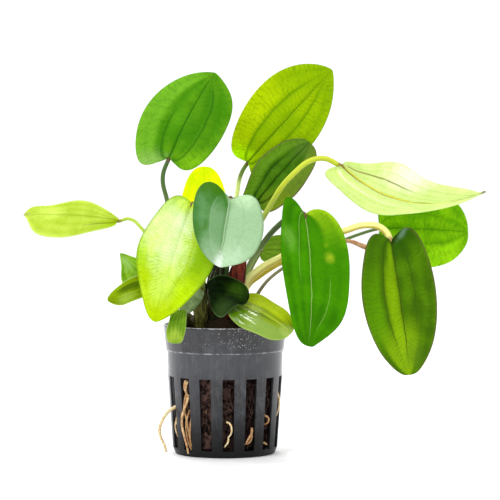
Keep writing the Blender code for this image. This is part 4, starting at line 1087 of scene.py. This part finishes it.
def dead_skin(name, dark, light, foot=None, grain=(1, 1, 1)):
    """Dry dead tissue, dark and light in bands, stretched by grain; foot colours the part of the
    old stalk that is still green."""
    skin = Finish(name)
    rings = skin.noise(1.5, place=skin.stretched(*grain), detail=5, roughness=0.7)
    colour = skin.mix(skin.rise(rings, 0.35, 0.65), dark, light)
    if foot:
        colour = skin.mix(skin.rise(skin.along("X"), LIVE_TO, DRY_FROM, 0.9, 0), colour, foot)
    return skin.wear(colour, 0.7, skin.sum("ADD", rings, skin.noise(0.3)), 0.2, Specular_IOR_Level=0.15)


def stub_path(foot, *route):
    """The path of a leafless stub that leaves the crown at foot and passes the points of route."""
    start, outward = on_crown(*foot)
    return [(start - 1.5 * outward, 2.0), (start + SPROUT * outward, 1.8), *route]


old_path = stub_path(
    (40, 38), ((9.3, 4.5, 71.8), 1.9), ((15, 5, 76.4), 1.6), ((23.2, 5.8, 81.3), 1.35),
    ((38, 5, 88.2), 1.1), ((52.5, 2, 91.1), 0.8), ((60, 2.6, 88.6), 1.1), ((63, 3, 87.6), 1.4),
)
old_stalk = drawn("old_cut_stalk", [old_path], steps=12, resolution=5)
old_stalk.data.materials.append(dead_skin("dry_stalk", "b07850", "e0b090", foot="ccbc40"))
settle(old_stalk, "dead_tissue", "old_stalk", smooth_deg=180)

UPRIGHT = (1, 1, 0.1)
red_skin = dead_skin("red_sheath_skin", "180604", "8c3428", grain=UPRIGHT)
sheath_path = stub_path((-58, 42), ((4.5, -9, 71), 1.8), ((8, -11, 81), 0.5))
sheath = drawn("dry_red_sheath", [sheath_path], steps=12, resolution=5)
sheath.data.materials.append(red_skin)
settle(sheath, "dead_tissue", "red_sheath", smooth_deg=180)

scrap_skin = dead_skin("dark_scrap_skin", "12140a", "3c3a28", grain=UPRIGHT)
olive_skin = dead_skin("olive_scrap_skin", "2c2c0c", "80803c", grain=UPRIGHT)
grey_leaf_skin = dead_skin("small_grey_leaf_skin", "64784c", "98a884", grain=(0.4, 1, 0.4))
for name, skin, scrap in (
    ("torn_red_sheath", red_skin,
     Blade((2.6, -9.5, 66), (7.6, -11, 86), (0.1, -1, 0.1), 7.5, lobe=1, arch=1, cup=-1.5, point=0.8)),
    ("left_torn_sheath", olive_skin,
     Blade((-11, -9.5, 54), (-10, -11.5, 72), (-0.2, -1, 0.1), 6.5, lobe=0.5, arch=1, cup=-1.5, point=0.7)),
    ("middle_torn_sheath", scrap_skin,
     Blade((-5.5, -8.5, 56), (-4.2, -9, 82.5), (-0.1, -1, 0.1), 6.5, lobe=0.5, arch=1, cup=-1.5, point=0.8)),
    ("back_torn_sheath", scrap_skin,
     Blade((-2.8, -7.5, 56), (-2.4, -7, 90), (0.1, -1, 0.1), 6.5, lobe=0.5, arch=1, cup=-1.5, point=0.8)),
    ("low_torn_sheath", scrap_skin,
     Blade((-8, -8, 55), (-8.6, -8, 73.5), (0, -1, 0.1), 6, lobe=0.5, arch=1, cup=-1.5, point=0.8)),
    ("small_grey_leaf", grey_leaf_skin,
     Blade((-11, -11, 72), (-17.5, -13.5, 61.2), (-0.1, -1, 0.2), 8, lobe=1, arch=1, point=0.8)),
):
    piece = blade_piece(name, scrap, 0.5, 0.1, (0.4, 2, 0.5), 40, 24)
    piece.data.materials.append(skin)
    settle(piece, "dead_tissue", smooth_deg=180)

grey_path = [((-10.5, -6, 57), 0.7), ((-11, -8.5, 67), 0.6), ((-11, -11, 72.2), 0.4)]
grey_stalk = drawn("small_grey_leaf_stalk", [grey_path])
grey_stalk.data.materials.append(grey_leaf_skin)
settle(grey_stalk, "dead_tissue", smooth_deg=180)

FRAYED = 9
random.seed(5)
frayed = []
for count in range(FRAYED):
    foot = Vector((random.uniform(-7.5, -1), random.uniform(-13, -10), random.uniform(62, 70)))
    rise = random.uniform(6, 12)
    side = random.uniform(-1.5, 2.5)
    middle = foot + Vector((0.5 * side + random.uniform(-0.8, 0.8), -1.0, 0.5 * rise))
    frayed.append([(foot, 0.12), (middle, 0.1), (foot + Vector((side, -1.5, rise)), 0.05)])
frayed_fibres = drawn("frayed_sheath_fibres", frayed, steps=6, resolution=1)
frayed_fibres.data.materials.append(dead_skin("frayed_skin", "8c9080", "c8ccb8"))
settle(frayed_fibres, "dead_tissue", smooth_deg=180)


# The roots
# Cream to tan roots that have grown out of the plug through the slots: one hangs in a loop beside
# the pot, one runs down to the base, and short curls show against the dark fibre.

def root_path(slot, route, radius):
    """A root at one slot; each point of its route is (sideways, height, out from the wall)."""
    path = []
    for k, (side, height, out) in enumerate(route):
        turn = first_slot + slot * pitch + side / wall_radius(height, out)
        taper = 1 - 0.35 * k / (len(route) - 1)
        path.append((on_wall(turn, height, out), radius * taper))
    return path


def root_finish(name, dark, light):
    root = Finish(name)
    bands = root.noise(1.2, detail=5, roughness=0.65)
    colour = root.mix(root.rise(bands, 0.35, 0.65), dark, light)
    colour = root.mix(root.rise(root.noise(5), 0.55, 0.7, 0, 0.5), colour, "9a6238")
    return root.wear(colour, 0.5, root.sum("ADD", bands, root.noise(0.3)), 0.15, Specular_IOR_Level=0.3,
                     Subsurface_Weight=0.1, Subsurface_Scale=1.0 * MM)


cream = root_finish("cream_root_skin", "c8a468", "f0e0b4")
amber = root_finish("amber_root_skin", "94683c", "e0bc8c")
tan = root_finish("tan_root_skin", "8a6038", "c8a070")
for node, skin, slot, radius, routes in (
    ("outer_root", cream, -3, 0.8, [
        [(0, 20.6, -1.2), (-0.3, 18.6, 2.2), (-0.3, 14.8, 5.4), (0, 11, 7), (0, 8, 6.8), (0.6, 4.6, 5.6),
         (1, 1.4, 5)],
    ]),
    ("left_root", amber, -2, 0.62, [
        [(0.9, 26.5, -1.0), (1.1, 24, 0.0), (0.2, 21.5, 0.6), (-1.3, 17.5, 1.1), (-1.5, 13.5, 1.4),
         (-0.4, 8.5, 1.3), (0.6, 4.5, 1.1), (1.1, 1.4, 1.0)],
        [(-0.2, 32.4, -0.9), (0.3, 31.0, 0.1), (0.2, 29, 0.2), (0.5, 27.2, -0.7)],
        [(0.9, 32.2, -0.9), (0.8, 30.4, 0.0), (0.5, 28.4, 0.1), (0.3, 27.0, -0.8)],
    ]),
    ("left_thin_root", tan, -2, 0.5, [
        [(0.2, 28, -1.1), (-0.6, 24, -0.2), (-1.0, 20, -0.1), (0.2, 15.5, 0.1), (1.0, 11, 0.1),
         (1.5, 5, -0.6)],
        [(1.2, 20, -1.2), (0.1, 16, -0.1), (-0.4, 11, 0.0), (0.5, 6.5, 0.1), (1.3, 2.8, -0.8)],
        [(1.9, 17, -1.3), (1.7, 12, -0.2), (1.4, 7, -0.2), (2.0, 3.2, -1.0)],
    ]),
    ("side_root", cream, -3, 0.45, [
        [(0.2, 16, -1.3), (0.8, 12, 0), (-0.2, 7.5, -1.2)],
        [(1.6, 14.5, -1.2), (-0.4, 12.6, -0.4), (-1.4, 13.2, -1.2)],
    ]),
    ("front_root", cream, 0, 0.45, [
        [(-0.6, 15.4, -1.4), (0.6, 14.8, -0.4), (1.4, 12.6, -0.1), (1.1, 10.4, -0.3), (-0.1, 8.6, -1.3)],
        [(0.2, 8.2, -1.3), (-0.3, 6.4, -0.5), (-1.2, 5.2, -0.9), (-1.5, 4.6, -1.4)],
    ]),
    ("right_front_root", tan, 1, 0.55, [
        [(1.5, 12.5, -1.4), (0.9, 10.6, -0.3), (-0.4, 8.4, -0.2), (-1.3, 6.4, -0.6), (-1.5, 5.6, -1.4)],
        [(1.6, 10, -1.4), (0.8, 7.8, -0.4), (-0.4, 6.2, -0.5), (-1.2, 5.8, -1.3)],
    ]),
    ("right_root", tan, 2, 0.5, [
        [(-1.0, 17.5, -1.4), (0.3, 16.4, -0.2), (0.4, 14.6, -0.2), (-0.9, 13.4, -1.4)],
        [(-0.6, 5.8, -1.4), (0.4, 5.0, -0.5), (1.4, 4.8, -1.4)],
    ]),
    ("far_right_root", cream, 3, 0.5, [
        [(0.4, 27, -1.4), (0.2, 23.5, -0.1), (0.4, 19, -0.1), (0.6, 15.5, -1.4)],
    ]),
    ("back_root", tan, 7, 0.45, [[(-1, 25, -1.4), (0.8, 19, 0.3), (0.2, 12, 0.4), (-1, 7, -1.2)]]),
    ("left_back_root", tan, -5, 0.45, [[(0.8, 14, -1.4), (-0.8, 11, 0), (0.3, 6.5, -1.4)]]),
):
    strands = [root_path(slot, route, radius) for route in routes]
    piece = drawn(node + "_grown", strands, steps=10, resolution=4)
    piece.data.materials.append(skin)
    settle(piece, "root_skin", node, smooth_deg=180)


# The studio
# A white floor in a bright white room, with a soft lamp at the front left, one behind and a small
# one overhead for the wet leaf, seen through a long lens from a little above the floor.

VIEW_HEIGHT_DEG = 3.2
VIEW_DISTANCE = 1300
LOOKED_AT = Vector((10.75, 0, 87.3))
PICTURE_SIDE = 500
LENS_IN_PIXELS = 3023
ROOM_LIGHT = 1.15

clear_selection()
bpy.ops.mesh.primitive_plane_add(size=6, location=(0, 0, -0.0002))
floor = bpy.context.object
floor.name = "floor"
ground = Finish("white_floor")
floor.data.materials.append(ground.wear("f4f4f6", 0.6))

world = bpy.data.worlds.new("white_room")
bpy.context.scene.world = world
world.use_nodes = True
white_light = world.node_tree.nodes["Background"]
white_light.inputs["Color"].default_value = (1, 1, 1, 1)
white_light.inputs["Strength"].default_value = ROOM_LIGHT


def soft_light(name, spot, target, side, power):
    """A round lamp at spot, in metres, turned to target."""
    bpy.ops.object.light_add(type="AREA", location=spot)
    lamp = bpy.context.object
    lamp.name = name
    lamp.data.shape = "DISK"
    lamp.data.size = side
    lamp.data.energy = power
    lamp.rotation_euler = (Vector(target) - Vector(spot)).to_track_quat("-Z", "Y").to_euler()


soft_light("key", (-0.5, -0.8, 0.9), (0, 0, 0.09), 0.5, 5)
soft_light("back", (-0.3, 0.9, 0.8), (0, 0, 0.1), 0.6, 5)
soft_light("gloss", (0.01, 0.03, 0.96), (0.011, -0.027, 0.06), 0.1, 1.1)

tilt = math.radians(VIEW_HEIGHT_DEG)
spot = LOOKED_AT + VIEW_DISTANCE * Vector((0, -math.cos(tilt), math.sin(tilt)))
bpy.ops.object.camera_add(location=spot * MM)
camera = bpy.context.object
camera.rotation_euler = (LOOKED_AT - spot).to_track_quat("-Z", "Y").to_euler()
camera.data.lens = camera.data.sensor_width * LENS_IN_PIXELS / PICTURE_SIDE
camera.data.clip_start, camera.data.clip_end = 0.1, 50
bpy.context.scene.camera = camera
bpy.context.scene.view_settings.view_transform = "Standard"
